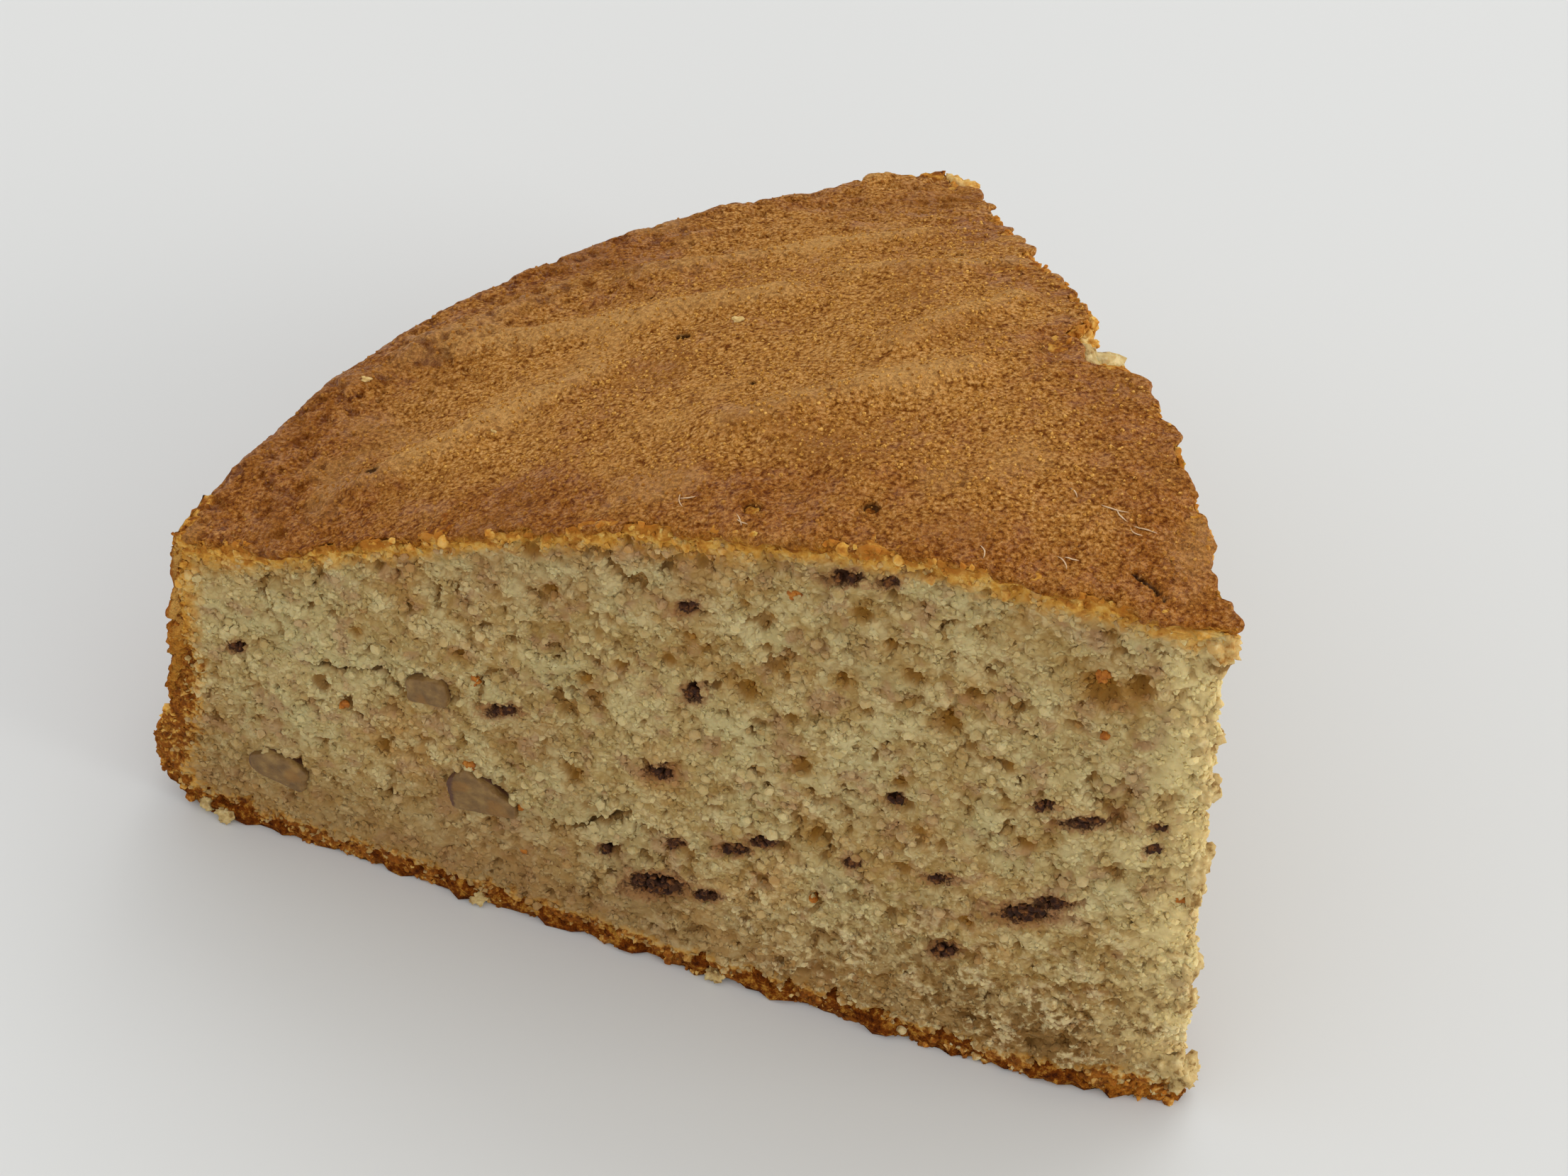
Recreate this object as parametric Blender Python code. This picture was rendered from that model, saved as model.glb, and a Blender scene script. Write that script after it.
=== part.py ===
"""A slice of ginger cake, a sixth of a round one, standing as it was cut.

Two cut faces of open crumb meet at the tip. The baked skin goes on over the domed top, down the
curved side, which leans in as the tin did, and under the base. Pieces of walnut lie bedded in
the front cut. Metres, +Z up: the front cut faces -Y and the tip points along +X.
"""
import math

import bpy
import bmesh
import numpy as np
from mathutils import Vector, geometry, noise

# The slice
CUT_ANGLE = math.radians(60)      # between the two cuts
RADIUS_FRONT = 0.0996             # tip to curved side at the base, along the front cut
RADIUS_FAR = 0.1004               # and along the far cut
TIP = (0.0489, -0.0425)           # where the cuts meet at the top, from the middle of the base
CENTRE_HEIGHT = 0.0640            # at the tip, which was the middle of the cake
RIM_HEIGHT = 0.0383               # at the curved side, by the front cut
FAR_DROP = 0.0069                 # how much lower the rim is by the far cut
DOME_REACH, DOME_FALL = 2.6, 1.7  # powers that shape the dome from centre to rim

# The curved side: its lean, the swelling at its foot and the round edge of the base
SIDE_LEAN = 0.0048
FOOT_SWELL, FOOT_AT, FOOT_WIDE = 0.0014, 0.0080, 0.0035
BASE_ROUND, BASE_ROUND_HEIGHT, BASE_ROUND_POWER = 0.0040, 0.0045, 2.2

# The cuts
CRUST_TIP_BLUNT = 0.0010          # the tip is rounded off, the crumb more than its crust
TIP_BLUNT, TIP_BLUNT_FROM = 0.0014, 0.0030
TIP_LEAN = 0.0042                 # the tip's foot stands out past its top
FRONT_FOOT, FRONT_BELLY = 0.0015, 0.0006     # the front cut swells towards its foot
# The far cut is hollow here: share of the way from tip to side, half length and depth
FAR_HOLLOWS = ((0.06, 0.04, 0.0007), (0.66, 0.16, 0.0016), (0.24, 0.07, -0.0005))
LIP, LIP_THICK = 0.0005, 0.0016   # crust standing proud of the crumb, and its thickness
TEAR, TEAR_DEPTH = 0.0006, 0.0032  # the crumb drawn back under it

# Broken places in the crust's edge: the notch in the far cut and the chipped far corner
NOTCH_AT, NOTCH_HALF, NOTCH_DEPTH, NOTCH_DOWN = 0.0394, 0.0046, 0.0035, 0.0030
CHIP_REACH, CHIP_DEPTH, CHIP_DOWN = 0.0036, 0.0018, 0.0050

# Relief: size of the lumps and how far they stand
SWELL_SIZE, SWELL = 0.0065, 0.0005           # slow unevenness of every side
CLUMP_SIZE, CLUMP = 0.0050, 0.0006           # rounded clumps of crumb, gaps between them
GRIT_SIZE, GRIT = 0.0026, 0.0005             # smaller crumb
SKIN_SIZE, SKIN = 0.0040, 0.0005             # the baked side's skin
WAVE_SIZE, WAVE = 0.0110, 0.0004             # the top's skin
RIPPLE_SIZE, RIPPLE = 0.0050, 0.0003

# Soft folds in the skin of the top: radius and angle at both ends, and how high each stands
FOLDS = (
    (0.080, 6, 0.069, 21, 0.0010),
    (0.090, 20, 0.066, 38, 0.0011),
    (0.050, 17, 0.040, 40, 0.0008),
    (0.048, 38, 0.051, 53, 0.0008),
    (0.084, 34, 0.074, 53, 0.0010),
    (0.092, 15, 0.088, 31, 0.0005),
    (0.066, 44, 0.060, 57, 0.0008),
)
FOLD_WIDE = 0.0026

# Walnut pieces in the front cut: distance from the tip, height, size along, up and inwards, turn
WALNUTS = {
    "walnut_1": (0.0664, 0.0162, (0.0092, 0.0078, 0.0086), -12),
    "walnut_2": (0.0866, 0.0100, (0.0070, 0.0062, 0.0076), 20),
    "walnut_3": (0.0710, 0.0284, (0.0044, 0.0054, 0.0060), 5),
}
POCKET_GAP = 0.0003

# How finely the surfaces are divided
CUT_COLUMNS, RIM_COLUMNS, ROWS_MIDDLE = 50, 46, 20
LOW_ROWS, HIGH_ROWS = (0.0, 0.012, 0.040), (0.940, 0.975, 1.0)
TOP_SPACING = 0.0025
ON_CUTS = 2 * CUT_COLUMNS + 1     # columns on the two cuts, the tip's column shared

FRONT_WAY = np.array([-1.0, 0.0])
FAR_WAY = np.array([-math.cos(CUT_ANGLE), math.sin(CUT_ANGLE)])
FAR_OUT = np.array([math.sin(CUT_ANGLE), math.cos(CUT_ANGLE)])


def ease(x):
    """0 below 0, 1 above 1, and a smooth step between."""
    x = np.clip(x, 0.0, 1.0)
    return x * x * (3.0 - 2.0 * x)


def bell(x):
    return np.exp(-x * x)


def lumps(points, size, seed):
    """Smooth noise from -1 to 1 at each point, in lumps about this size."""
    shift = Vector((seed * 7.3, seed * 3.1, seed * 5.7))
    return np.array([noise.noise(Vector(p) / size + shift) for p in points])


def clumps(points, size):
    """Rounded lumps with narrow gaps between them, from -0.6 in the gaps to 0.4."""
    found = [noise.voronoi(Vector(p) / size)[0] for p in points]
    return np.array([min((second - first) / 0.35, 1.0) - 0.6 for first, second, *_ in found])


def around(angle):
    """The level direction at this angle from the front cut, seen from the tip."""
    return np.stack([-np.cos(angle), np.sin(angle)], axis=-1)


def top_height(x, y):
    """Height of the top above the base, for points measured from the tip."""
    share = np.clip(np.arctan2(y, -x) / CUT_ANGLE, 0.0, 1.0)
    rim = RADIUS_FRONT + (RADIUS_FAR - RADIUS_FRONT) * share - SIDE_LEAN
    out = np.clip(np.hypot(x, y) / rim, 0.0, 1.0)
    dome = (CENTRE_HEIGHT - RIM_HEIGHT) * (1.0 - out ** DOME_REACH) ** DOME_FALL
    height = RIM_HEIGHT + dome - FAR_DROP * share * out ** 2
    for start_radius, start_angle, end_radius, end_angle, high in FOLDS:
        start = around(math.radians(start_angle)) * start_radius
        along = around(math.radians(end_angle)) * end_radius - start
        t = ((x - start[0]) * along[0] + (y - start[1]) * along[1]) / (along @ along)
        t = np.clip(t, 0.0, 1.0)
        away = np.hypot(x - start[0] - t * along[0], y - start[1] - t * along[1])
        height = height + high * bell(away / FOLD_WIDE)
    level = np.stack([x, y, 0.0 * x], axis=-1)
    return height + WAVE * lumps(level, WAVE_SIZE, 1) + RIPPLE * lumps(level, RIPPLE_SIZE, 2)


def reach(share, rise, z):
    """Tip to curved side: share is 0 by the front cut and 1 by the far one, rise 0 to 1."""
    radius = RADIUS_FRONT + (RADIUS_FAR - RADIUS_FRONT) * share - SIDE_LEAN * rise
    foot = FOOT_SWELL * bell((z - FOOT_AT) / FOOT_WIDE)
    under = np.clip(1.0 - z / BASE_ROUND_HEIGHT, 0.0, 1.0)
    return radius + foot - BASE_ROUND * under ** BASE_ROUND_POWER


def front_swell(share, rise):
    """How far the front cut stands out, at a share of the way from tip to side."""
    share = np.clip(share, 0.0, 1.0)
    belly = FRONT_FOOT + FRONT_BELLY * 4.0 * share * (1.0 - share)
    return belly * (1.0 - rise) * ease(share / 0.04)


def outline(rise, z, top):
    """The slice's outline at one row of the wall: from the front corner along the front cut to
    the tip, along the far cut and back round the curved side. z and top are one per column."""
    steps = np.linspace(-1.0, 1.0, ON_CUTS)
    low = z[:ON_CUTS]
    depth = (top - z)[:ON_CUTS]
    blunt = CRUST_TIP_BLUNT + TIP_BLUNT * ease(depth / TIP_BLUNT_FROM - 1.0)
    front = -steps * reach(0.0, rise, low)
    far = steps * reach(1.0, rise, low)
    front = 0.5 * (front + np.sqrt(front ** 2 + blunt ** 2))
    far = 0.5 * (far + np.sqrt(far ** 2 + blunt ** 2))
    cuts = front[:, None] * FRONT_WAY + far[:, None] * FAR_WAY
    cuts[:, 1] -= front_swell(-steps, rise)
    cuts[:, 0] += TIP_LEAN * (1.0 - rise) * (1.0 - np.abs(steps))
    for at, half, deep in FAR_HOLLOWS:
        cuts -= (deep * bell((steps - at) / half))[:, None] * FAR_OUT
    share = np.linspace(1.0, 0.0, RIM_COLUMNS + 1)[1:-1]
    rim = reach(share, rise, z[ON_CUTS:])[:, None] * around(share * CUT_ANGLE)
    return np.concatenate([cuts, rim])


def outward(ring):
    """Level normals of a closed ring of points, pointing out of the slice."""
    along = np.roll(ring, -1, axis=0) - np.roll(ring, 1, axis=0)
    normal = np.stack([along[:, 1], -along[:, 0]], axis=-1)
    return normal / np.linalg.norm(normal, axis=1)[:, None]


def broken_in(ring, depth):
    """How far the crust's edge is broken in, for points this far below the top."""
    off_notch = np.hypot(*(ring - FAR_WAY * NOTCH_AT).T) / NOTCH_HALF
    notch = NOTCH_DEPTH * (1.0 - ease(off_notch - 0.5)) * (1.0 - ease(depth / NOTCH_DOWN))
    off_corner = np.hypot(*(ring - FAR_WAY * (RADIUS_FAR - SIDE_LEAN)).T) / CHIP_REACH
    chip = CHIP_DEPTH * bell(off_corner) * (1.0 - ease(depth / CHIP_DOWN))
    return notch + chip


def wall_relief(points, ring, depth):
    """How far each point of one row stands out: crumb on the cuts, skin on the curved side."""
    on_cut = np.arange(len(points)) < ON_CUTS
    crumb = CLUMP * clumps(points, CLUMP_SIZE) + GRIT * lumps(points, GRIT_SIZE, 6)
    lip = LIP * (1.0 - ease(depth / LIP_THICK - 0.5))
    tear = TEAR * bell((depth - TEAR_DEPTH) / LIP_THICK)
    ragged = 1.0 + 0.9 * lumps(points, CLUMP_SIZE, 5)
    cut = crumb + (lip - tear) * ragged
    skin = SKIN * lumps(points, SKIN_SIZE, 4)
    swell = SWELL * lumps(points, SWELL_SIZE, 3)
    return swell + np.where(on_cut, cut, skin) - broken_in(ring, depth)


def wall_rows():
    """The wall as rows of points, from the base up to the edge of the top."""
    middle = np.linspace(LOW_ROWS[-1], HIGH_ROWS[0], ROWS_MIDDLE + 2)[1:-1]
    rises = np.concatenate([LOW_ROWS, middle, HIGH_ROWS])
    high = np.full(ON_CUTS + RIM_COLUMNS - 1, CENTRE_HEIGHT)
    top = top_height(*outline(1.0, high, high).T)
    rows = []
    for rise in rises:
        z = rise * top
        ring = outline(rise, z, top)
        out = wall_relief(np.column_stack([ring, z]), ring, top - z)
        ring = ring + out[:, None] * outward(ring)
        if rise == 1.0:
            z = top_height(*ring.T)
        rows.append(np.column_stack([ring, z]))
    return rows


def points_inside(ring):
    """Points in even rows over the top, a little clear of its edge."""
    row_gap = TOP_SPACING * math.sqrt(3.0) / 2.0
    low, high = ring.min(axis=0), ring.max(axis=0)
    points = []
    for row in range(int((high[1] - low[1]) / row_gap) + 1):
        y = low[1] + row_gap * row
        edges = [(a, b) for a, b in zip(ring, np.roll(ring, -1, axis=0)) if (a[1] > y) != (b[1] > y)]
        crossings = sorted(a[0] + (b[0] - a[0]) * (y - a[1]) / (b[1] - a[1]) for a, b in edges)
        for left, right in zip(crossings[::2], crossings[1::2]):
            start = low[0] + TOP_SPACING * 0.5 * (row % 2)
            for x in np.arange(start, right, TOP_SPACING):
                clear = np.hypot(*(ring - (x, y)).T).min() > 0.55 * TOP_SPACING
                if x > left and clear:
                    points.append(Vector((x, y)))
    return points


def cake_mesh():
    """One closed surface: the wall's rows, a net over the top, and the flat base."""
    mesh = bmesh.new()
    rows = [[mesh.verts.new(p) for p in row] for row in wall_rows()]
    count = len(rows[0])
    for lower, upper in zip(rows, rows[1:]):
        for i in range(count):
            j = (i + 1) % count
            face = mesh.faces.new((lower[i], lower[j], upper[j], upper[i]))
            face.material_index = 1 if i < ON_CUTS - 1 else 0

    edge = [v.co.to_2d() for v in rows[-1]]
    loop = [(i, (i + 1) % count) for i in range(count)]
    inside = points_inside(np.array(edge))
    net = geometry.delaunay_2d_cdt(edge + inside, loop, [], 1, 1e-7)
    points, triangles, origins = net[0], net[2], net[3]
    heights = top_height(*np.array(points).T)
    verts = []
    for point, z, origin in zip(points, heights, origins):
        on_edge = origin and origin[0] < count
        verts.append(rows[-1][origin[0]] if on_edge else mesh.verts.new((*point, z)))
    for triangle in triangles:
        mesh.faces.new([verts[i] for i in triangle])
    mesh.faces.new(rows[0])
    bmesh.ops.translate(mesh, verts=mesh.verts, vec=(*TIP, 0.0))
    return finished(mesh, "cake")


def finished(mesh, name):
    """The bmesh as a closed, triangulated mesh with its faces pointing out."""
    bmesh.ops.recalc_face_normals(mesh, faces=mesh.faces)
    bmesh.ops.triangulate(mesh, faces=mesh.faces)
    data = bpy.data.meshes.new(name)
    mesh.to_mesh(data)
    mesh.free()
    return data


def walnut_mesh(name, grow):
    """A broken piece of walnut: a lump with flattened sides, cut off flush with the front cut.
    Grown by a gap and left uncut, it is the pocket that the piece lies in."""
    along, up, size, turn = WALNUTS[name]
    rise = up / float(top_height(np.array([-along]), np.array([0.0]))[0])
    front = TIP[1] - float(front_swell(along / RADIUS_FRONT, rise))
    middle = Vector((TIP[0] - along, front, up))
    tilt = Vector((math.cos(math.radians(turn)), 0.0, math.sin(math.radians(turn))))
    upright = Vector((-tilt.z, 0.0, tilt.x))
    mesh = bmesh.new()
    bmesh.ops.create_icosphere(mesh, subdivisions=3, radius=0.5)
    for v in mesh.verts:
        blocky = Vector([math.copysign(abs(2.0 * c) ** 0.8 / 2.0, c) for c in v.co])
        blocky *= 1.0 + 0.16 * noise.noise(blocky * 2.2 + Vector((along * 900.0, 0.0, 0.0)))
        v.co = middle + tilt * blocky.x * size[0] + upright * blocky.z * size[1]
        v.co.y += blocky.y * size[2]
    bmesh.ops.recalc_face_normals(mesh, faces=mesh.faces)
    if grow:
        mesh.normal_update()
        for v in mesh.verts:
            v.co += v.normal * grow
    else:
        whole = mesh.verts[:] + mesh.edges[:] + mesh.faces[:]
        bmesh.ops.bisect_plane(mesh, geom=whole, plane_co=middle, plane_no=(0, -1, 0),
                               clear_outer=True)
        bmesh.ops.holes_fill(mesh, edges=mesh.edges)
    return finished(mesh, name)


def material(name, colour, roughness):
    made = bpy.data.materials.new(name)
    made.use_nodes = True
    surface = made.node_tree.nodes["Principled BSDF"]
    surface.inputs["Base Color"].default_value = (*colour, 1.0)
    surface.inputs["Roughness"].default_value = roughness
    surface.inputs["Metallic"].default_value = 0.0
    return made


def place(name, data, *materials):
    thing = bpy.data.objects.new(name, data)
    bpy.context.scene.collection.objects.link(thing)
    for made in materials:
        data.materials.append(made)
    return thing


for thing in list(bpy.data.objects):
    bpy.data.objects.remove(thing)

baked_skin = material("baked_skin", (0.40, 0.17, 0.05), 0.75)
open_crumb = material("open_crumb", (0.52, 0.44, 0.26), 0.85)
nut = material("nut", (0.36, 0.25, 0.14), 0.60)

cake = place("cake", cake_mesh(), baked_skin, open_crumb)
for name in WALNUTS:
    place(name, walnut_mesh(name, 0.0), nut)
    pocket = place(name + "_pocket", walnut_mesh(name, POCKET_GAP), open_crumb)
    pocket.hide_render = True
    pocket.display_type = "WIRE"
    bite = cake.modifiers.new(name + "_pocket", "BOOLEAN")
    bite.operation = "DIFFERENCE"
    bite.solver = "EXACT"
    bite.object = pocket
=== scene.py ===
import math
import bpy
import bmesh
import numpy as np
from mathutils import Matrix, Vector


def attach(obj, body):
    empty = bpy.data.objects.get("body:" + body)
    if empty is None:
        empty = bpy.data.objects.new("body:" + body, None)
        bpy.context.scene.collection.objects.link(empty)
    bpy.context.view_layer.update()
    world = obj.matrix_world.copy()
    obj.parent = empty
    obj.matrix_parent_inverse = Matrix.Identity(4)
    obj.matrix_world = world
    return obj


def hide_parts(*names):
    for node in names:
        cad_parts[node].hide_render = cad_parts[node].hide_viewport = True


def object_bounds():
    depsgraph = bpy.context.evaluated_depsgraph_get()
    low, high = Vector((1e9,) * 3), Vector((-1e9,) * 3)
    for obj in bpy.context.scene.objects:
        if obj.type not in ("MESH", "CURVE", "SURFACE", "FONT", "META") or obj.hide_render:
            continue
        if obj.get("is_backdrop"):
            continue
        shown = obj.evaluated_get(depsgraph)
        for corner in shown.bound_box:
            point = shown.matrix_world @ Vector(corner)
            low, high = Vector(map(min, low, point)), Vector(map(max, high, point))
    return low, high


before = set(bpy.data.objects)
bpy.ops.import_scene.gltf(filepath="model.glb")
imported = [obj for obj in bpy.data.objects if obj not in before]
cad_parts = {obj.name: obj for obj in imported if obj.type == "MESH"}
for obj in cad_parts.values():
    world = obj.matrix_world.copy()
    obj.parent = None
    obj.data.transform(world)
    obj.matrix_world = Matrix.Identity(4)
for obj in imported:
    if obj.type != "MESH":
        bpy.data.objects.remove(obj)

from types import SimpleNamespace
from mathutils import Matrix, Vector, noise
from mathutils.bvhtree import BVHTree

solid_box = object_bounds()

# ------------------------------------------------------------------ The baked skin
# The slice is a sixth of a round cake. Its skin is one thin brown piece over the domed top, down
# the curved side and under the base, baked on in the tin. The knife left its thickness showing as
# a ragged band round both cuts, where it stands a little proud of the crumb.
CUT_ANGLE = math.radians(60)
RADIUS_FRONT, RADIUS_FAR = 0.0996, 0.1004
TIP = (0.0489, -0.0425)
CENTRE_HEIGHT, RIM_HEIGHT, FAR_DROP = 0.064, 0.0383, 0.0069
DOME_REACH, DOME_FALL = 2.6, 1.7
SIDE_LEAN = 0.0048
FOOT_SWELL, FOOT_AT, FOOT_WIDE = 0.0014, 0.008, 0.0035
BASE_ROUND, BASE_ROUND_HEIGHT, BASE_ROUND_POWER = 0.004, 0.0045, 2.2
CRUST_TIP_BLUNT, TIP_BLUNT, TIP_BLUNT_FROM = 0.0015, 0.0009, 0.003
TIP_LEAN = 0.0042
FRONT_FOOT, FRONT_BELLY = 0.0003, 0.0006
TIP_BACK, TIP_BACK_REACH = 0.0014, 0.16
FAR_HOLLOWS = (  # places on the far cut from 0 to 1, how far each reaches and how deep it is
    (0.06, 0.04, 0.0007), (0.66, 0.16, 0.0016), (0.24, 0.07, -0.0005),
)
NOTCH_AT, NOTCH_HALF, NOTCH_DEPTH = 0.0416, 0.0044, 0.0036
CHIP_REACH, CHIP_DEPTH = 0.005, 0.002
FOLDS = (  # both ends, as the distance from the tip and the angle in degrees, and how high
    (0.08, 6, 0.069, 21, 0.0013), (0.09, 20, 0.066, 38, 0.0014), (0.05, 17, 0.04, 40, 0.001),
    (0.048, 38, 0.051, 53, 0.001), (0.084, 34, 0.074, 53, 0.0013), (0.092, 15, 0.088, 31, 0.0008),
    (0.066, 44, 0.06, 57, 0.001), (0.097, 54, 0.1, 60, 0.0019),
)
FOLD_WIDE = 0.0023
WAVE_SIZE, WAVE, RIPPLE_SIZE, RIPPLE = 0.011, 0.0005, 0.005, 0.0004
RIM_ROUND = 0.002
TOP_ROWS, RIM_ROWS, SIDE_ROWS, BASE_ROWS = 320, 9, 84, 80
TOP_SPACING, SIDE_SPACING, BASE_SPACING = 0.00031, 0.0005, 0.0013
BASE_THICKER = 1.1
BAND = (  # how deep from the baked face, and how far proud of the cut
    (0.00012, 0.0001), (0.00032, 0.0002), (0.00055, 0.00016),
    (0.00085, -0.00006), (0.00115, -0.0006), (0.0015, -0.003),
)
BAND_VARIES, BAND_VARIES_SIZE = 0.9, 0.0022
RAGGED, RAGGED_SIZE, NIBBLED, NIBBLED_SIZE = 0.0008, 0.0035, 0.0006, 0.0014
TORN, TORN_SIZE, TORN_FRONT = 0.0011, 0.0044, 0.3
RAGGED_REACH = 0.01
PITS = (  # small holes in the top, from the tip, and how wide
    (-0.0589, 0.032, 0.0008), (-0.0794, 0.0093, 0.0006), (-0.066, 0.042, 0.0005),
    (-0.0483, 0.0214, 0.0004), (-0.0415, 0.0031, 0.0007), (-0.0321, 0.0051, 0.0006),
    (-0.0393, 0.0524, 0.0006), (-0.069, 0.023, 0.0004),
)
SPLIT = ((-0.0099, 0.0035), (-0.0086, 0.0029), (-0.007, 0.0018))
PIT_DEEP, SPLIT_DEEP, SPLIT_WIDE = 0.0008, 0.0006, 0.0003
HEART = np.array([[0.6], [0.5], [0.5]])
FAR_ALONG = np.array([-math.cos(CUT_ANGLE), math.sin(CUT_ANGLE)])
FRONT_OUT = np.array([0.0, -1.0, 0.0])
FAR_OUT = np.array([math.sin(CUT_ANGLE), math.cos(CUT_ANGLE), 0.0])


def ease(x):
    x = np.clip(x, 0.0, 1.0)
    return x * x * (3.0 - 2.0 * x)


def bell(x):
    return np.exp(-x * x)


def lumps(points, size, seed):
    """Smooth noise from -1 to 1 at each point, in lumps about this size."""
    shift = Vector((seed * 7.3, seed * 3.1, seed * 5.7))
    return np.array([noise.noise(Vector(p) / size + shift) for p in points])


def around(angle):
    return np.array([-math.cos(angle), math.sin(angle)])


def fold_height(x, y):
    """How high the low folds of the top stand over a place measured from the tip."""
    height = 0.0 * x
    for start_radius, start_angle, end_radius, end_angle, high in FOLDS:
        start = around(math.radians(start_angle)) * start_radius
        along = around(math.radians(end_angle)) * end_radius - start
        t = ((x - start[0]) * along[0] + (y - start[1]) * along[1]) / (along @ along)
        t = np.clip(t, 0.0, 1.0)
        away = np.hypot(x - start[0] - t * along[0], y - start[1] - t * along[1])
        height = height + high * bell(away / FOLD_WIDE)
    return height


def along_path(a, b, path):
    """How far each place is from a path of straight steps."""
    nearest = np.full(len(a), 1.0)
    for (c, d), (e, f) in zip(path, path[1:]):
        t = np.clip(((a - c) * (e - c) + (b - d) * (f - d)) / ((e - c) ** 2 + (f - d) ** 2), 0, 1)
        nearest = np.minimum(nearest, np.hypot(a - c - t * (e - c), b - d - t * (f - d)))
    return nearest


def broken_in(radius):
    """How far the far edge is broken away, in the notch and at the far corner."""
    notch = NOTCH_DEPTH * bell(((radius - NOTCH_AT) / NOTCH_HALF) ** 2)
    return notch + CHIP_DEPTH * bell(((RADIUS_FAR - radius) / CHIP_REACH) ** 2)


def top_height(x, y):
    """Height of the domed and folded top over a place measured from the tip."""
    share = np.clip(np.arctan2(y, -x) / CUT_ANGLE, 0.0, 1.0)
    rim = RADIUS_FRONT + (RADIUS_FAR - RADIUS_FRONT) * share - SIDE_LEAN
    out = np.clip(np.hypot(x, y) / rim, 0.0, 1.0)
    dome = (CENTRE_HEIGHT - RIM_HEIGHT) * (1.0 - out**DOME_REACH) ** DOME_FALL
    height = RIM_HEIGHT + dome - FAR_DROP * share * out**2 + fold_height(x, y)
    level = np.stack([x, y, 0.0 * x], axis=-1)
    return height + WAVE * lumps(level, WAVE_SIZE, 1) + RIPPLE * lumps(level, RIPPLE_SIZE, 2)


def side_radius(share, rise, z):
    """How far the curved side is from the tip. It leans in, swells at its foot and rounds under."""
    radius = RADIUS_FRONT + (RADIUS_FAR - RADIUS_FRONT) * share - SIDE_LEAN * rise
    foot = FOOT_SWELL * bell((z - FOOT_AT) / FOOT_WIDE)
    under = np.clip(1.0 - z / BASE_ROUND_HEIGHT, 0.0, 1.0)
    return radius + foot - BASE_ROUND * under**BASE_ROUND_POWER


def level_place(out, share, rise, z, depth):
    """Plan position from the tip, and how far in it is from the front cut and from the far one."""
    radius = out * side_radius(share, rise, z)
    far = radius * np.sin(share * CUT_ANGLE) / math.sin(CUT_ANGLE)
    front = radius * np.cos(share * CUT_ANGLE) - far * math.cos(CUT_ANGLE)
    blunt = CRUST_TIP_BLUNT + TIP_BLUNT * ease(depth / TIP_BLUNT_FROM - 1.0)
    both = np.sqrt((front + far) ** 2 + blunt**2)
    front, far = (both + front - far) / 2, (both - front + far) / 2
    x = -front - far * math.cos(CUT_ANGLE) + TIP_LEAN * (1.0 - rise) * (1.0 - out)
    belly = (FRONT_FOOT + FRONT_BELLY * 4.0 * out * (1.0 - out)) * (1.0 - rise) * ease(out / 0.04)
    y = far * math.sin(CUT_ANGLE) - belly * (1.0 - share) ** 4
    y = y + TIP_BACK * (1.0 - rise) ** 3 * ease(1.0 - out / TIP_BACK_REACH)
    for at, half, deep in FAR_HOLLOWS:
        inward = deep * bell((out - at) / half) * share**6
        x, y = x - inward * FAR_OUT[0], y - inward * FAR_OUT[1]
    return x, y, far * math.sin(CUT_ANGLE), front * math.sin(CUT_ANGLE)


def slice_points(out, share, rise):
    """Points of the plain slice, measured from the foot of its tip. out is 0 at the tip and 1 at
    the side, share 0 on the front cut and 1 on the far one, rise 0 at the base and 1 on top."""
    out, share, rise = np.broadcast_arrays(out * 1.0, share * 1.0, rise * 1.0)
    x, y, _, _ = level_place(out, share, 1.0, CENTRE_HEIGHT, 0.0)
    top = top_height(x, y)
    z = rise * top
    x, y, from_front, from_far = level_place(out, share, rise, z, top - z)
    points = np.stack([x, y, z], axis=-1)
    cut_out = from_far[..., None] * FRONT_OUT + from_front[..., None] * FAR_OUT
    cut_out = cut_out / np.linalg.norm(cut_out, axis=-1, keepdims=True)
    return SimpleNamespace(
        at=points, top=top, from_front=from_front, from_far=from_far, cut_out=cut_out
    )


def zipped(lower, upper):
    """Triangles between two rows of points of any lengths."""
    found, i, j = [], 0, 0
    low_end, high_end = len(lower) - 1, len(upper) - 1
    while i < low_end or j < high_end:
        if j == high_end or (i < low_end and (i + 1) * high_end < (j + 1) * low_end):
            found.append((lower[i], lower[i + 1], upper[j]))
            i += 1
        else:
            found.append((lower[i], upper[j + 1], upper[j]))
            j += 1
    return found


def new_object(name, data):
    made = bpy.data.objects.new(name, data)
    bpy.context.scene.collection.objects.link(made)
    return made


def new_piece(name, points, faces, material, **marks):
    """A mesh object in the slice's frame, with numbers stored at its points by name."""
    data = bpy.data.meshes.new(name)
    data.from_pydata((points + np.array([*TIP, 0.0])).tolist(), [], faces)
    for mark, values in marks.items():
        store = data.attributes.new(mark, "FLOAT", "POINT")
        store.data.foreach_set("value", np.asarray(values, dtype=np.float32))
    data.shade_smooth()
    data.materials.append(material)
    return new_object(name, data)


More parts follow.
